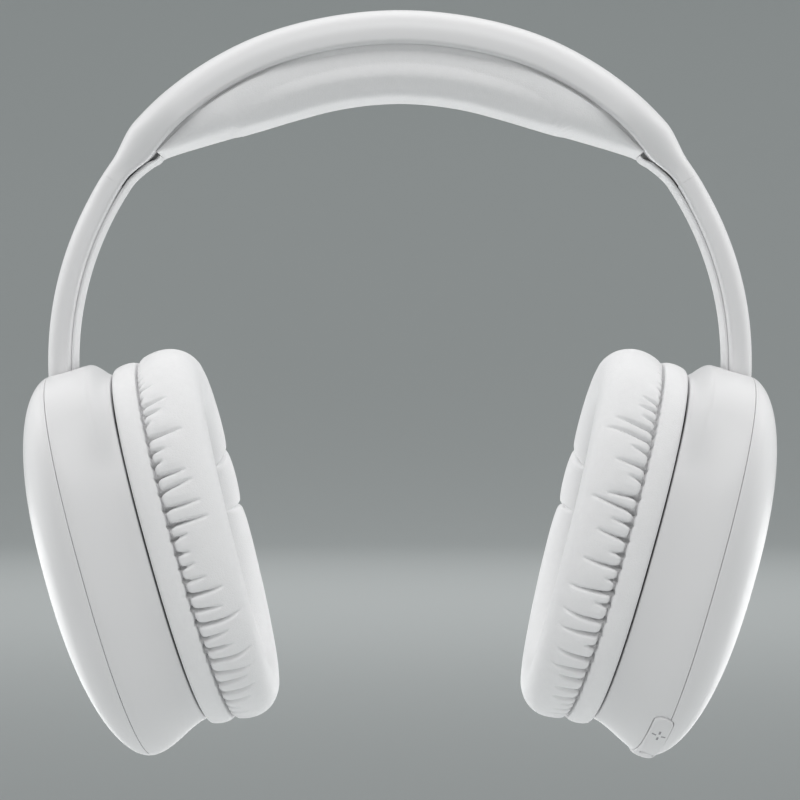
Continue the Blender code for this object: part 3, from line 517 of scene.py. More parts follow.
def billow(name, grid, held, closed):
    """How far cloth under pressure moves each point of a grid held at its seams and folds."""
    sample = loft(name, grid * CLOTH_SCALE, "white_leatherette", closed=closed)
    group = sample.vertex_groups.new(name="held")
    for index, weight in enumerate(held.ravel().tolist()):
        group.add([index], weight, "REPLACE")
    cloth = sample.modifiers.new("cloth", "CLOTH")
    cloth.settings.quality = 4
    cloth.settings.mass = 0.05
    cloth.settings.tension_stiffness = 12.0
    cloth.settings.compression_stiffness = 12.0
    cloth.settings.bending_stiffness = 0.3
    cloth.settings.vertex_group_mass = "held"
    cloth.settings.use_pressure = True
    cloth.settings.uniform_pressure_force = 60.0
    cloth.settings.effector_weights.gravity = 0.0
    cloth.collision_settings.use_collision = False
    cloth.point_cache.frame_start = 1
    cloth.point_cache.frame_end = CLOTH_FRAMES
    for step in range(1, CLOTH_FRAMES + 1):
        bpy.context.scene.frame_set(step)
    apply_modifiers(sample)
    moved = np.empty(3 * len(sample.data.vertices))
    sample.data.vertices.foreach_get("co", moved)
    bpy.data.objects.remove(sample, do_unlink=True)
    bpy.context.scene.frame_set(1)
    return moved.reshape(grid.shape) / CLOTH_SCALE - grid


def rise_along(normal, move, cap):
    """A movement's share along the normals, kept between a small dip and a cap."""
    return np.clip(np.einsum("ijk,ijk->ij", move, normal), -0.3 * cap, cap)


# ---------------------------------------------------------------- headband, pad and arms

def band_point(angle, radius, depth):
    """Points of the band: angle from the crown towards +X, radius from its centre, depth on Y."""
    shift = np.sign(angle) * ARC_SHIFT * smooth(np.abs(angle), 0.0, ARC_BLEND)
    return points_of(shift + radius * np.sin(angle), depth, ARC_HEIGHT + radius * np.cos(angle))


def two_part_oval(turn, outer, root, lip, half_width, upper, lower):
    """A section (across, radius): a full upper part above root and a boxier lower part under it."""
    rise = np.cos(turn)
    power = np.where(rise > 0.0, upper, lower)
    across = signed_power(np.sin(turn), power) * half_width
    reach = np.where(rise > 0.0, outer - root, root - lip)
    return across, root + signed_power(rise, power) * reach


def band_shape(angle):
    narrow = smooth(np.abs(angle), *NARROWING)
    shoulder = smooth(np.abs(angle), *SHOULDER)
    half_width = blend(BAND_HALF_WIDTH, NECK_HALF_WIDTH, narrow)
    outer = blend(BAND_OUTER, NECK_OUTER, shoulder)
    lip = blend(BAND_LIP, NECK_LIP, smooth(np.abs(angle), *LIP_SHOULDER))
    channel = blend(BAND_HALF_WIDTH - BAND_WALL, NECK_CHANNEL_HALF_WIDTH, narrow)
    top = blend(CHANNEL_TOP, NECK_CHANNEL_TOP, shoulder)
    return half_width, outer, lip, channel, top


def band_ring(angle):
    half_width, outer, lip, channel, top = band_shape(angle)
    lip_turn = pi - np.arcsin(min((channel / half_width) ** (1.0 / LIP_BOXINESS), 0.999))
    turn = np.linspace(-lip_turn, lip_turn, 73)
    root = lip + LIP_RISE
    across, radius = two_part_oval(turn, outer, root, lip, half_width, BAND_ROUNDNESS, LIP_BOXINESS)
    inner = channel - CHANNEL_CORNER
    across = np.concatenate([across, [channel, inner, -inner, -channel]])
    radius = np.concatenate([radius, [top - CHANNEL_CORNER, top, top, top - CHANNEL_CORNER]])
    return band_point(angle, radius, across)


def band_plug(side, name):
    """Closes the band's channel past the pad's tip, where the lips come together."""
    rings = []
    for angle in np.linspace(*PLUG, 13):
        half_width, _, lip, channel, _ = band_shape(angle)
        across = 0.5 * (half_width + channel)
        low = lip + PLUG_INSET
        corners = [(-across, PLATE_LOW), (-across, low), (across, low), (across, PLATE_LOW)]
        rings.append([tuple(band_point(side * angle, radius, y)) for y, radius in corners])
    return loft(name, np.array(rings), "white_shell")


def build_headband():
    angles = np.linspace(-BAND_END, BAND_END, 261)
    shell = loft("headband_shell_fine", np.array([band_ring(a) for a in angles]), "white_shell")
    cut(shell, [band_plug(side, word + "_plug") for word, side in SIDES.items()], "UNION")
    settle(shell, "headband", "white_shell", "headband_shell")


def pad_ring(angle):
    """The pad's section: tucked between the lips, then full, a shallow valley and a rolled edge."""
    bottom = min(PAD_BOTTOM / cos(max(abs(angle) - PAD_STRAIGHT_START, 0.0)), PAD_TIP)
    bulge = blend(PAD_HALF_WIDTH, PAD_END_HALF_WIDTH, smooth(abs(angle), PAD_TAPER_START, PAD_END))
    tuck = min(bulge - PAD_NECK_STEP, band_shape(angle)[3] - PAD_NECK_CLEARANCE)
    depth = PAD_NECK - bottom
    turn = np.linspace(0.0, pi, 97)
    fall = np.sin(turn) ** PAD_LOWER_ROUNDNESS
    valley = PAD_VALLEY * (1.0 - smooth(abs(angle), *PAD_FLATTER))
    shallow = blend(PAD_RECESS, PAD_END_RECESS, smooth(abs(angle), *PAD_FLATTER))
    recess = 1.0 - shallow * (1.0 - smooth(fall, *PAD_FILLING))
    hollow = np.exp(-((fall - PAD_VALLEY_AT) / PAD_VALLEY_SPREAD) ** 2)
    half_width = bulge * recess - valley * hollow
    across = signed_power(np.cos(turn), PAD_FRONT_ROUNDNESS) * half_width
    radius = PAD_NECK - depth * fall
    across = np.concatenate([across[1:-1], [-tuck, -tuck, tuck, tuck]])
    radius = np.concatenate([radius[1:-1], [PAD_NECK, PAD_TOP, PAD_TOP, PAD_NECK]])
    return band_point(angle, radius, across)


def pad_rise(grid, angles):
    """How far the pad's cover swells below the band's lips."""
    held = np.zeros(grid.shape[:2])
    held[:, -5:] = 1.0
    held[:, :3] = 1.0
    held = np.maximum(held, smooth(np.abs(angles), *PAD_HELD)[:, None])
    move = billow("pad_sample", grid, held, False)
    length = np.linalg.norm(move, axis=-1, keepdims=True)
    free = (1.0 - smooth(np.abs(angles), *PAD_HELD))[:, None, None]
    return move * np.minimum(PAD_SWELL / np.maximum(length, 1e-9), 1.0) * free


def build_head_pad():
    angles = np.linspace(-PAD_END, PAD_END, 241)
    grid = np.array([pad_ring(a) for a in angles])
    pad = loft("head_pad_cushion", grid + pad_rise(grid, angles), "white_leatherette")
    settle(pad, "headband", "white_leatherette", "head_pad")


def arm_ring(angle, side):
    """The arm starts with the neck's section, so the joint hardly shows, and settles to an oval."""
    settled = smooth(angle, ARM_START, ARM_SETTLED)
    root = blend(NECK_LIP + LIP_RISE, blend(ARM_INNER, ARM_OUTER, ARM_ROOT), settled)
    lip = blend(NECK_LIP, ARM_INNER, settled)
    half_width = blend(NECK_HALF_WIDTH, ARM_HALF_WIDTH, settled)
    upper = blend(BAND_ROUNDNESS, ARM_ROUNDNESS, settled)
    lower = blend(LIP_BOXINESS, ARM_BOXINESS, settled)
    across, radius = two_part_oval(turns(88), ARM_OUTER, root, lip, half_width, upper, lower)
    return band_point(side * angle, radius, across)


def liner_ring(side, angle):
    """The soft strip inside the curve: a thin tongue just under the band's lips, then the liner."""
    gap = blend(*LINER_GAP, smooth(angle, LINER_START + radians(0.4), LINER_FULL))
    gap = blend(gap, NECK_LIP - LINER_HIGH, smooth(angle, LINER_FULL, LINER_SEATED))
    high = band_shape(min(angle, BAND_END))[2] - gap
    thickness = blend(LINER_TIP, LINER_HIGH - LINER_LOW, smooth(angle, LINER_START, LINER_FULL))
    radius = high + 0.5 * thickness * (signed_power(np.cos(turns(40)), 0.5) - 1.0)
    across = signed_power(np.sin(turns(40)), 0.35) * LINER_HALF_WIDTH
    return band_point(side * angle, radius, across)


def build_arm(side, word):
    body = word + "_arm"
    angles = np.linspace(ARM_START, ARM_END, 161)
    arm = loft(word + "_arm_fine", np.array([arm_ring(a, side) for a in angles]), "white_shell")
    settle(arm, body, "white_shell", word + "_arm_shell")
    rings = [liner_ring(side, angle) for angle in np.linspace(LINER_START, BAND_END, 61)]
    tongue = loft(word + "_band_tongue", np.array(rings), "soft_liner")
    settle(tongue, "headband", "soft_liner")
    rings = [liner_ring(side, angle) for angle in np.linspace(ARM_START, ARM_END, 141)]
    liner = loft(word + "_arm_liner_fine", np.array(rings), "soft_liner")
    settle(liner, body, "soft_liner", word + "_arm_liner")


# ---------------------------------------------------------------- cups

def cup_point(side, level, along, across):
    out = CUP_DISTANCE + level
    up = CUP_CENTRE + along
    x = out * cos(CUP_TILT) + up * sin(CUP_TILT)
    return points_of(side * x, across, up * cos(CUP_TILT) - out * sin(CUP_TILT))


def oval(angle, half_width, half_height):
    """A rounded oval: (along, across). Angle 0 is the top, and the front, -Y, comes next."""
    power = 2.0 / OVAL_POWER
    along = signed_power(np.cos(angle), power) * half_height
    return along, -signed_power(np.sin(angle), power) * half_width


def even_angles(count, half_width=RIM_HALF_WIDTH, half_height=RIM_HALF_HEIGHT):
    """Oval angles at equal distances round it, and the distance all round."""
    fine = np.linspace(0.0, 2.0 * pi, 14401)
    along, across = oval(fine, half_width, half_height)
    steps = np.hypot(np.diff(along), np.diff(across))
    travelled = np.concatenate([[0.0], np.cumsum(steps)])
    return np.interp(np.arange(count) * travelled[-1] / count, travelled, fine), travelled[-1]


def casing_halves(level, angle, inset=0.0):
    """The casing's half width and half height at a level: a waist below, a dome above."""
    rise = np.clip((level - ROUND_START) / (CROWN - inset - ROUND_START), 0.0, 1.0)
    scale = (1.0 - rise * rise) ** (1.0 / DOME_POWER)
    from_top = np.minimum(angle, 2.0 * pi - angle)
    flank = smooth(from_top, *WAIST_TURN)
    shallow = TOP_WAIST * (1.0 - smooth(level, 0.0, TOP_WAIST_RISE))
    deep = SIDE_WAIST * (1.0 - smooth(level, -1.0 * MM, ROUND_START))
    waist = blend(shallow, deep, flank) + inset
    return scale * (RIM_HALF_WIDTH - waist), scale * (RIM_HALF_HEIGHT - waist)


def casing_ring(side, level, angles, inset=0.0):
    along, across = oval(angles, *casing_halves(level, angles, inset))
    return cup_point(side, level, along, across)


def edge_round(edge, direction, radius, steps=5):
    """(level, inset) pairs of a small rounded edge, from its end face to its side."""
    pairs = []
    for turn in np.linspace(0.0, pi / 2.0, steps):
        pairs.append((edge + direction * radius * (1.0 - cos(turn)), radius * (1.0 - sin(turn))))
    return pairs


def superellipse_prism(name, side, heights, middle, half, half_width, power):
    turn = turns(64)
    x = middle + signed_power(np.cos(turn), power) * half
    y = signed_power(np.sin(turn), power) * half_width
    rings = [points_of(side * x, y, height) for height in heights]
    return loft(name, np.array(rings), "white_shell")


def arm_slot(side, word):
    inner = ARC_SHIFT + LINER_LOW - SLOT_INNER_CLEARANCE
    outer = ARC_SHIFT + ARM_OUTER + SLOT_CLEARANCE
    middle = 0.5 * (inner + outer)
    half = 0.5 * (outer - inner)
    wide = ARM_HALF_WIDTH + SLOT_SIDE_CLEARANCE
    name = word + "_slot"
    return superellipse_prism(name, side, SLOT_HEIGHTS, middle, half, wide, SLOT_ROUNDNESS)


def build_cup_shell(side, word):
    """The waisted main casing, with rounded edges at the seams."""
    angles, _ = even_angles(300)
    top = CUP_SEAM - 0.5 * SEAM_GAP
    profile = edge_round(0.0, 1.0, BASE_EDGE)
    profile.extend((level, 0.0) for level in np.linspace(BASE_EDGE, top - SEAM_EDGE, 46)[1:-1])
    profile.extend(reversed(edge_round(top, -1.0, SEAM_EDGE)))
    profile.extend((level, CUP_WALL) for level in (top, INNER_BEND, TOP_WAIST_RISE, 0.0))
    grid = np.array([casing_ring(side, level, angles, inset) for level, inset in profile])
    shell = loft(word + "_cup_shell_fine", grid, "white_shell", closed=True)
    cut(shell, [arm_slot(side, word)])
    return settle(shell, word + "_cup", "white_shell", word + "_cup_shell")


def build_cover(side, word):
    """The domed outer cover."""
    angles, _ = even_angles(300)
    edge = CUP_SEAM + 0.5 * SEAM_GAP
    profile = edge_round(edge, 1.0, SEAM_EDGE)
    start = asin((edge + SEAM_EDGE - ROUND_START) / (CROWN - ROUND_START))
    for turn in np.linspace(start, radians(89.2), 60)[1:]:
        profile.append((ROUND_START + (CROWN - ROUND_START) * sin(turn), 0.0))
    outside = [casing_ring(side, level, angles, inset) for level, inset in reversed(profile)]
    inner_crown = CROWN - CUP_WALL
    start = asin((edge - ROUND_START) / (inner_crown - ROUND_START))
    inside = []
    for turn in np.linspace(start, radians(88.0), 14):
        level = ROUND_START + (inner_crown - ROUND_START) * sin(turn)
        inside.append(casing_ring(side, level, angles, CUP_WALL))
    cover = loft(word + "_cover_fine", np.array(outside + inside), "white_cover")
    cut(cover, [arm_slot(side, word)])
    return settle(cover, word + "_cup", "white_cover", word + "_outer_cover")


# ---------------------------------------------------------------- ear cushions

# The cushion's section: share of the way from the outside to the ear opening, and level in mm.
BASE_LINE = [(0.36, -0.3), (0.2, -0.4), (0.11, -0.7), (0.07, -1.4)]
BASE_LINE += [(0.045, -3.0), (0.045, -4.8), (0.075, -6.2)]
SEAM_LINE = [(0.075, -6.2), (0.18, -6.4), (0.075, -6.6)]
ROLL_LINE = [(0.075, -6.6), (0.025, -7.6), (0.005, -10.0)]
ROLL_LINE += [(0.01, -13.0), (0.08, -16.0), (0.24, -18.1)]
CREST_LINE = [(0.24, -18.1), (0.5, -18.9), (0.76, -18.1), (0.93, -15.8), (1.0, -12.5), (1.0, -8.0)]
INNER_LINE = [(1.0, -8.0), (0.985, -4.6), (0.93, -3.5), (0.8, -3.2), (0.36, -3.2)]
NOTCHES = ((21.7 * MM, 1.7), (5.1 * MM, 1.0))


def cushion_profile():
    """Shares and levels round the cushion's section, and each one's distance from the seam."""
    roll = smooth_line(ROLL_LINE + CREST_LINE[1:], 74)
    base = smooth_line(BASE_LINE, 22)
    seam = smooth_line(SEAM_LINE, 7)[1:-1]
    inner = smooth_line(INNER_LINE, 14)[1:]
    profile = np.vstack([base, seam, roll, inner])
    width = 1000.0 * (CUSHION_HALF_WIDTH - EAR_HALF_WIDTH)
    steps = np.linalg.norm(np.diff(profile * np.array([width, 1.0]), axis=0), axis=1)
    travelled = np.concatenate([[0.0], np.cumsum(steps)])
    return profile, travelled - travelled[len(base) + 2]


def cushion_grid(side, profile, angles):
    rings = []
    for share, level in profile:
        half_width = blend(CUSHION_HALF_WIDTH, EAR_HALF_WIDTH, share)
        half_height = blend(CUSHION_HALF_HEIGHT, EAR_HALF_HEIGHT, share)
        along, across = oval(angles, half_width, half_height)
        lean = CUSHION_LEAN * (level / CREST_LEVEL) ** 2
        leant = level * MM - lean * np.cos(angles)
        rings.append(cup_point(side, leant, along + CUSHION_RISE, across))
    return np.array(rings)


def grid_normals(grid):
    """Unit normals of a looped grid, pointing out of it."""
    along = np.roll(grid, -1, axis=1) - np.roll(grid, 1, axis=1)
    across = np.roll(grid, -1, axis=0) - np.roll(grid, 1, axis=0)
    normal = np.cross(along, across)
    normal /= np.maximum(np.linalg.norm(normal, axis=-1, keepdims=True), 1e-12)
    volume = np.einsum("ijk,ijk->", grid - grid.mean(axis=(0, 1)), normal)
    return normal if volume > 0.0 else -normal


def strength_at(share):
    """Pleats are small over the top, deep down the flanks and middling below. Share 0 is the top."""
    from_top = np.minimum(share, 1.0 - share) * 2.0
    return smooth(from_top, 0.14, 0.34) * blend(1.0, 0.6, smooth(from_top, 0.74, 0.86))


def pleat_list(seed, round_trip):
    """Pleats at uneven spacing round the seam: place, length, depth, slant and bend, in mm."""
    chance = np.random.default_rng(seed)
    pleats = []
    place = 0.0
    long_one = True
    while place < round_trip - 1.8:
        flank = strength_at(place / round_trip)
        if long_one:
            length = chance.uniform(9.0, 14.0)
            depth = chance.uniform(1.2, 1.6)
        else:
            length = chance.uniform(4.5, 8.0)
            depth = chance.uniform(0.9, 1.3)
        length *= blend(0.3, 1.0, flank)
        depth *= blend(0.4, 1.0, flank)
        slant = chance.uniform(-0.09, 0.05)
        bend = chance.uniform(-0.014, 0.006)
        pleats.append((place, length, depth, slant, bend))
        place += chance.uniform(2.8, 4.0) * blend(0.62, 1.0, flank)
        long_one = chance.random() < (0.6 if long_one else 0.9)
    return pleats


def pleat_depths(seed, away, places, round_trip):
    """How far the cover dips, in mm, at each distance from the seam and place round it."""
    dip = np.zeros((len(away), len(places)))
    roll = away[:, None]
    for place, length, depth, slant, bend in pleat_list(seed, round_trip):
        reach = np.clip(roll / length, 0.0, 1.0)
        fade = (1.0 - reach) ** 0.7 * smooth(roll, -0.3, 0.25)
        offset = places[None, :] - place - slant * roll - bend * roll * roll
        offset = (offset + 0.5 * round_trip) % round_trip - 0.5 * round_trip
        if place > 0.5 * round_trip:
            offset = -offset
        apart = np.abs(offset)
        puff = 0.65 * np.exp(-apart / np.where(offset < 0.0, 1.4, 0.7))
        crease = 1.75 * np.exp(-(apart / (0.40 - 0.06 * reach)) ** 1.7)
        dip += depth * fade * (puff + crease)
        tuck = np.clip(1.0 + roll / 3.0, 0.0, 1.0) ** 1.5 * (roll < 0.0)
        dip += 0.5 * depth * tuck * np.exp(-(apart / 0.45) ** 1.4)
    return dip


def notch_depths(away, angles, places):
    """Two small folds that run over the crest at the back of the roll, in mm."""
    dip = np.zeros((len(away), len(places)))
    for height, strength in NOTCHES:
        angle = 2.0 * pi - np.arccos((height / CUSHION_HALF_HEIGHT) ** (0.5 * OVAL_POWER))
        offset = np.abs(places - np.interp(angle, angles, places))[None, :]
        over = smooth(away, 4.0, 9.0) * (1.0 - smooth(away, 23.0, 30.0))
        fold = 0.85 * np.exp(-(offset / 0.6) ** 1.3) + 0.35 * np.exp(-offset / 2.4)
        dip += strength * over[:, None] * fold
    return dip


def spread_out(values, rows, columns, row_count, column_count):
    """Values on a coarse looped grid, read off smoothly on the fine one."""
    across = np.empty((len(rows), column_count))
    for index, line in enumerate(values):
        across[index] = np.interp(np.arange(column_count), columns, line, period=column_count)
    fine = np.empty((row_count, column_count))
    for index in range(column_count):
        fine[:, index] = np.interp(np.arange(row_count), rows, across[:, index])
    return fine


def cushion_rise(word, grid, normal, dip, away):
    """How far the cover swells between its folds."""
    rows = np.arange(0, grid.shape[0], 2)
    columns = np.arange(0, grid.shape[1], 5)
    fold = np.clip(dip / HELD_DIP, 0.0, 1.0)
    free = smooth(away, *SWELL_START)[:, None] * (1.0 - smooth(away, *SWELL_END))[:, None]
    held = np.maximum(fold, 1.0 - free)
    picked = np.ix_(rows, columns)
    shaped = grid - normal * (dip * MM)[:, :, None]
    move = billow(word + "_cover_sample", shaped[picked], held[picked], True)
    rise = rise_along(normal[picked], move, CUSHION_SWELL)
    return spread_out(rise, rows, columns, *grid.shape[:2])


def build_cushion(side, word, seed):
    """The ear cushion: a smooth base ring, a gathered seam and a pleated main roll."""
    angles, round_trip = even_angles(CUSHION_COLUMNS, CUSHION_HALF_WIDTH, CUSHION_HALF_HEIGHT)
    round_trip *= 1000.0
    places = np.arange(len(angles)) * round_trip / len(angles)
    profile, away = cushion_profile()
    grid = cushion_grid(side, profile, angles)
    normal = grid_normals(grid)
    visible = smooth(away, -6.0, -4.5) * (1.0 - smooth(away, 26.0, 30.0))
    dip = pleat_depths(seed, away, places, round_trip) + notch_depths(away, angles, places)
    dip *= visible[:, None]
    offset = cushion_rise(word, grid, normal, dip, away) - dip * MM
    grid = grid + normal * offset[:, :, None]
    cushion = loft(word + "_ear_cushion_soft", grid, "white_leatherette", closed=True, sharp=80.0)
    return settle(cushion, word + "_cup", "white_leatherette", word + "_ear_cushion")


# ---------------------------------------------------------------- controls on the right cup

def rim_frame(level, angle):
    """The rim's surface point, outward direction, sideways direction and the cup's axis."""
    step = radians(0.5)
    here = Vector(casing_ring(1.0, level, np.array([angle]))[0])
    ahead = Vector(casing_ring(1.0, level, np.array([angle + step]))[0])
    behind = Vector(casing_ring(1.0, level, np.array([angle - step]))[0])
    side_way = (ahead - behind).normalized()
    outward = CUP_AXIS.cross(side_way).normalized()
    centre = Vector(cup_point(1.0, level, 0.0, 0.0))
    if outward.dot(here - centre) < 0.0:
        outward = -outward
    return here, outward, side_way, CUP_AXIS


def rim_distances():
    """Oval angles near the buttons, and each one's distance along the rim from the round button."""
    angles = np.linspace(BUTTON_ANGLE - radians(45.0), BUTTON_ANGLE + radians(45.0), 1801)
    steps = np.linalg.norm(np.diff(casing_ring(1.0, BUTTON_LEVEL, angles), axis=0), axis=1)
    travelled = np.concatenate([[0.0], np.cumsum(steps)])
    return angles, travelled - travelled[900]


RIM_ANGLES, RIM_DISTANCES = rim_distances()


def rim_angle(distance):
    """The oval's angle at a distance along the rim from the round button."""
    return float(np.interp(distance, RIM_DISTANCES, RIM_ANGLES))


def rim_offset_point(distance, sideways, outset, follow=True):
    """A point over the rim: distance along it, sideways to the cover, outset above its surface."""
    angle = rim_angle(distance)
    here, outward, _, axis = rim_frame(BUTTON_LEVEL, angle)
    if follow:
        surface = Vector(casing_ring(1.0, BUTTON_LEVEL + sideways, np.array([angle]))[0])
        outset += (surface - here).dot(outward)
    return here + axis * sideways + outward * outset


def pill_widths(half_length, half_width):
    """Distances along a pill, and its half width at each."""
    straight = half_length - half_width
    ends = [radians(a) for a in (84.0, 72.0, 60.0, 48.0, 36.0, 24.0, 12.0)]
    low = [(-(straight + half_width * sin(a)), half_width * cos(a)) for a in ends]
    steps = max(3, int(straight / (0.45 * MM)))
    middle = [(d, half_width) for d in np.linspace(-straight, straight, steps)]
    return low + middle + [(-d, w) for d, w in reversed(low)]


def pill(name, half_length, half_width, low, high, edge, look, centre=0.0, aside=0.0):
    """A long shape that follows the rim, with a rounded upper edge."""
    rings = []
    for distance, half in pill_widths(half_length, half_width):
        place = centre + distance
        ring = [rim_offset_point(place, aside - half, low, False)]
        soft = min(edge, 0.9 * half)
        bends = np.linspace(0.0, pi / 2.0, 5)
        round_edge = [(soft * (1.0 - cos(turn)), soft * (1.0 - sin(turn))) for turn in bends]
        for inward, down in round_edge:
            ring.append(rim_offset_point(place, aside - half + inward, high - down))
        for share in np.linspace(-0.8, 0.8, 7):
            ring.append(rim_offset_point(place, aside + share * (half - soft), high))
        for inward, down in reversed(round_edge):
            ring.append(rim_offset_point(place, aside + half - inward, high - down))
        ring.append(rim_offset_point(place, aside + half, low, False))
        rings.append([tuple(point) for point in ring])
    return loft(name, np.array(rings), look)


def rim_tube(name, level, angle, profile, look, stretch=0.0, closed=False):
    """A turned shape square to the rim, from (radius, height) pairs. Stretch makes it a slot."""
    here, outward, side_way, axis = rim_frame(level, angle)
    turn = turns(48) + pi / 48.0
    rings = []
    for radius, height in profile:
        sideways = np.cos(turn) * radius + np.sign(np.cos(turn)) * stretch
        upward = np.sin(turn) * radius
        centre = np.array(here + outward * height)
        spread = np.outer(sideways, np.array(side_way)) + np.outer(upward, np.array(axis))
        rings.append(centre + spread)
    return loft(name, np.array(rings), look, closed=closed)


def cut_ports(shell):
    """Holes in the casing for the charging socket, the headphone socket and the microphone."""
    straight = USB_HALF_LENGTH - USB_HALF_HEIGHT
    holes = [(USB_ANGLE, USB_HALF_HEIGHT, straight)]
    holes += [(JACK_ANGLE, JACK_HOLE, 0.0), (MIC_ANGLE, MIC_HOLE, 0.0)]
    tools = []
    for angle, radius, stretch in holes:
        wide = radius + 0.35 * MM
        profile = [(radius, -6.0 * MM), (radius, -0.3 * MM), (wide, 0.05 * MM), (wide, 3.0 * MM)]
        tools.append(rim_tube("port_hole", PORT_LEVEL, angle, profile, "white_shell", stretch))
    cut(shell, tools)
    barrel = [(JACK_RADIUS, -12.0 * MM), (JACK_RADIUS, -0.9 * MM)]
    barrel.extend([(JACK_RADIUS - 0.2 * MM, -0.7 * MM), (JACK_BORE + 0.25 * MM, -0.7 * MM)])
    barrel.extend([(JACK_BORE, -0.95 * MM), (JACK_BORE, -11.0 * MM)])
    barrel.extend([(0.2 * MM, -11.1 * MM), (0.2 * MM, -12.0 * MM)])
    jack = rim_tube("aux_jack_fine", PORT_LEVEL, JACK_ANGLE, barrel, "grey_plastic", closed=True)
    settle(jack, "right_cup", "grey_plastic", "aux_jack")


def build_legends():
    """A plus of four strokes and a minus, printed on the rocker's ends."""
    proud = ROCKER_PROUD + 0.03 * MM
    deep = ROCKER_PROUD - 0.1 * MM
    strokes = [(-1.2, 0.0, 0.55, 0.22), (1.2, 0.0, 0.55, 0.22)]
    strokes += [(0.0, -1.1, 0.22, 0.5), (0.0, 1.1, 0.22, 0.5)]
    marks = [("plus", -KEY_SPACING, stroke) for stroke in strokes]
    marks.append(("minus", KEY_SPACING, (0.0, 0.0, 1.4, 0.22)))
    for number, (word, centre, stroke) in enumerate(marks, start=1):
        distance, aside, half_long, half_wide = stroke
        rings = []
        for along in np.linspace(-half_long, half_long, 5):
            place = centre + (distance + along) * MM
            near, far = (aside - half_wide) * MM, (aside + half_wide) * MM
            corners = [(near, deep), (near, proud), (far, proud), (far, deep)]
            rings.append([tuple(rim_offset_point(place, b, up)) for b, up in corners])
        mark = loft(f"rocker_legend_{word}_{number}", np.array(rings), "legend")
        settle(mark, "volume_rocker", "button_rubber")


def build_controls(shell, cover):
    """The rocker in its window, the round power button in the rocker, and their legends."""
    length = ROCKER_HALF_LENGTH + WINDOW_CLEARANCE
    half = ROCKER_HALF_WIDTH + WINDOW_CLEARANCE
    for casing in (shell, cover):
        cut(casing, [pill("window", length, half, -5.5 * MM, 4.0 * MM, 0.02 * MM, "white_shell")])
    rocker = pill("rocker_fine", ROCKER_HALF_LENGTH, ROCKER_HALF_WIDTH, -ROCKER_DEPTH, ROCKER_PROUD,
                  0.5 * MM, "button_rubber")
    hole = [(POWER_HOLE, -6.0 * MM), (POWER_HOLE, 4.0 * MM)]
    cut(rocker, [rim_tube("hole", BUTTON_LEVEL, BUTTON_ANGLE, hole, "button_rubber")])
    settle(rocker, "volume_rocker", "button_rubber", "volume_rocker")
    top = ROCKER_PROUD
    shape = [(POWER_RADIUS, -4.4 * MM), (POWER_RADIUS, top - 0.25 * MM)]
    shape.extend([(0.93 * POWER_RADIUS, top - 0.05 * MM), (0.8 * POWER_RADIUS, top + 0.08 * MM)])
    shape.append((0.5 * POWER_RADIUS, top + 0.05 * MM))
    button = rim_tube("power_button_fine", BUTTON_LEVEL, BUTTON_ANGLE, shape, "button_rubber")
    settle(button, "power_button", "button_rubber", "power_button")
    build_legends()
    cut_ports(shell)


# ---------------------------------------------------------------- studio

FLOOR_HEIGHT = -300.0 * MM
WALL_DISTANCE = 3.1
WALL_BEND = 1.2


def build_stage():
    """A pale floor that sweeps up into a wall."""
    line = [(-2.5, FLOOR_HEIGHT), (WALL_DISTANCE, FLOOR_HEIGHT)]
    for turn in np.linspace(0.0, pi / 2.0, 25)[1:]:
        height = FLOOR_HEIGHT + WALL_BEND * (1.0 - cos(turn))
        line.append((WALL_DISTANCE + WALL_BEND * sin(turn), height))
    line.append((WALL_DISTANCE + WALL_BEND, 4.0))
    verts = []
    for x in (-6.0, 6.0):
        verts.extend((x, y, z) for y, z in line)
    count = len(line)
    faces = [(i, i + count, i + count + 1, i + 1) for i in range(count - 1)]
    mesh = bpy.data.meshes.new("studio_floor")
    mesh.from_pydata(verts, [], faces)
    mesh.shade_smooth()
    floor = bpy.data.objects.new("studio_floor", mesh)
    bpy.context.scene.collection.objects.link(floor)
    look = Finish("studio_paper", (0.60, 0.64, 0.64), 0.9)
    look.set("Specular IOR Level", 0.1)
    look.mix_colour(look.noise(3.0, 2.0), (0.60, 0.64, 0.64), (0.61, 0.65, 0.65))
    mesh.materials.append(look.material)
    return floor


def add_light(name, place, target, width, height, power):
    data = bpy.data.lights.new(name, "AREA")
    data.shape = "RECTANGLE"
    data.size = width
    data.size_y = height
    data.energy = power
    lamp = bpy.data.objects.new(name, data)
    bpy.context.scene.collection.objects.link(lamp)
    lamp.location = place
    lamp.rotation_euler = (Vector(target) - Vector(place)).to_track_quat("-Z", "Y").to_euler()
    lamp.visible_camera = False
    return lamp


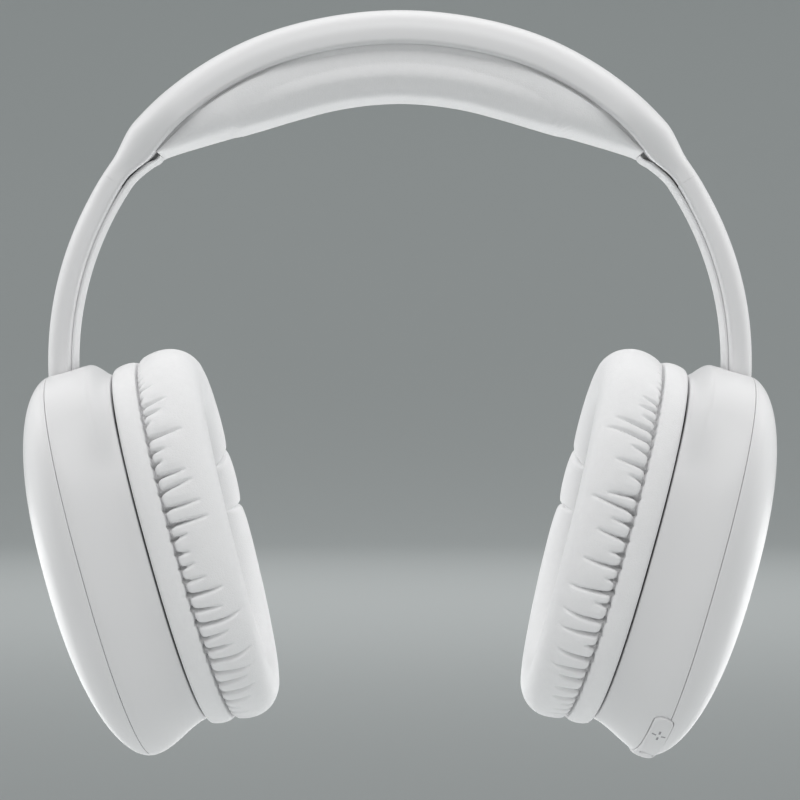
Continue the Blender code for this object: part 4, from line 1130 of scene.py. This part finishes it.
def build_lights(floor):
    """Panels beside, behind, over and under the set rim its outline, and two in front fill it.

    They leave the floor alone. One more light, over the floor, makes its pale band.
    """
    middle = (0.0, 0.0, -0.09)
    above = (0.0, 0.05, 0.0)
    panels = []
    for side in SIDES.values():
        panels.append(("side_light", (side * 0.75, 0.20, -0.09), middle, 0.5, 1.0, 1.3))
        panels.append(("back_side_light", (side * 0.65, 0.55, -0.05), middle, 0.5, 1.0, 1.3))
        panels.append(("high_side_light", (side * 0.6, 0.1, 0.45), middle, 0.6, 0.6, 1.1))
    panels.append(("back_top_light", (0.0, 0.45, 0.6), middle, 1.0, 0.5, 1.5))
    panels.append(("top_front_light", (0.0, -0.6, 0.75), middle, 1.0, 0.6, 4.0))
    panels.append(("front_light", (0.0, -1.6, -0.05), middle, 1.2, 0.8, 1.7))
    panels.append(("under_light", (0.0, 0.05, -0.285), above, 0.9, 0.7, 0.95))
    panels.append(("back_under_light", (0.0, 0.4, -0.285), middle, 1.0, 0.3, 1.7))
    lamps = [add_light(*panel) for panel in panels]
    set_only = bpy.data.collections.new("lit_by_set_lights")
    set_only.objects.link(floor)
    set_only.collection_objects[0].light_linking.link_state = "EXCLUDE"
    for lamp in lamps:
        lamp.light_linking.receiver_collection = set_only
    pool = add_light("floor_light", (0.0, 2.12, 0.85), (0.0, 2.12, FLOOR_HEIGHT), 2.2, 1.4, 3.9)
    pool.data.spread = radians(115.0)
    pool.data.color = (1.0, 0.965, 0.965)
    world = bpy.data.worlds.new("studio_air")
    bpy.context.scene.world = world
    world.use_nodes = True
    air = world.node_tree.nodes["Background"]
    air.inputs["Color"].default_value = (1.0, 1.0, 1.0, 1.0)
    air.inputs["Strength"].default_value = 0.45
    bpy.context.scene.view_settings.view_transform = "Standard"


def build_camera():
    data = bpy.data.cameras.new("camera")
    data.lens = LENS
    data.sensor_width = SENSOR
    camera = bpy.data.objects.new("camera", data)
    bpy.context.scene.collection.objects.link(camera)
    camera.location = (0.0, -CAMERA_DISTANCE, CAMERA_HEIGHT)
    camera.rotation_euler = (pi / 2.0, 0.0, 0.0)
    bpy.context.scene.camera = camera


# ---------------------------------------------------------------- assembly

build_camera()
dress_cad_nodes()
build_headband()
build_head_pad()
casings = {}
covers = {}
for side_word, side_sign in SIDES.items():
    build_arm(side_sign, side_word)
    casings[side_word] = build_cup_shell(side_sign, side_word)
    covers[side_word] = build_cover(side_sign, side_word)
    build_cushion(side_sign, side_word, 7 if side_word == "left" else 11)
build_controls(casings["right"], covers["right"])
build_lights(build_stage())
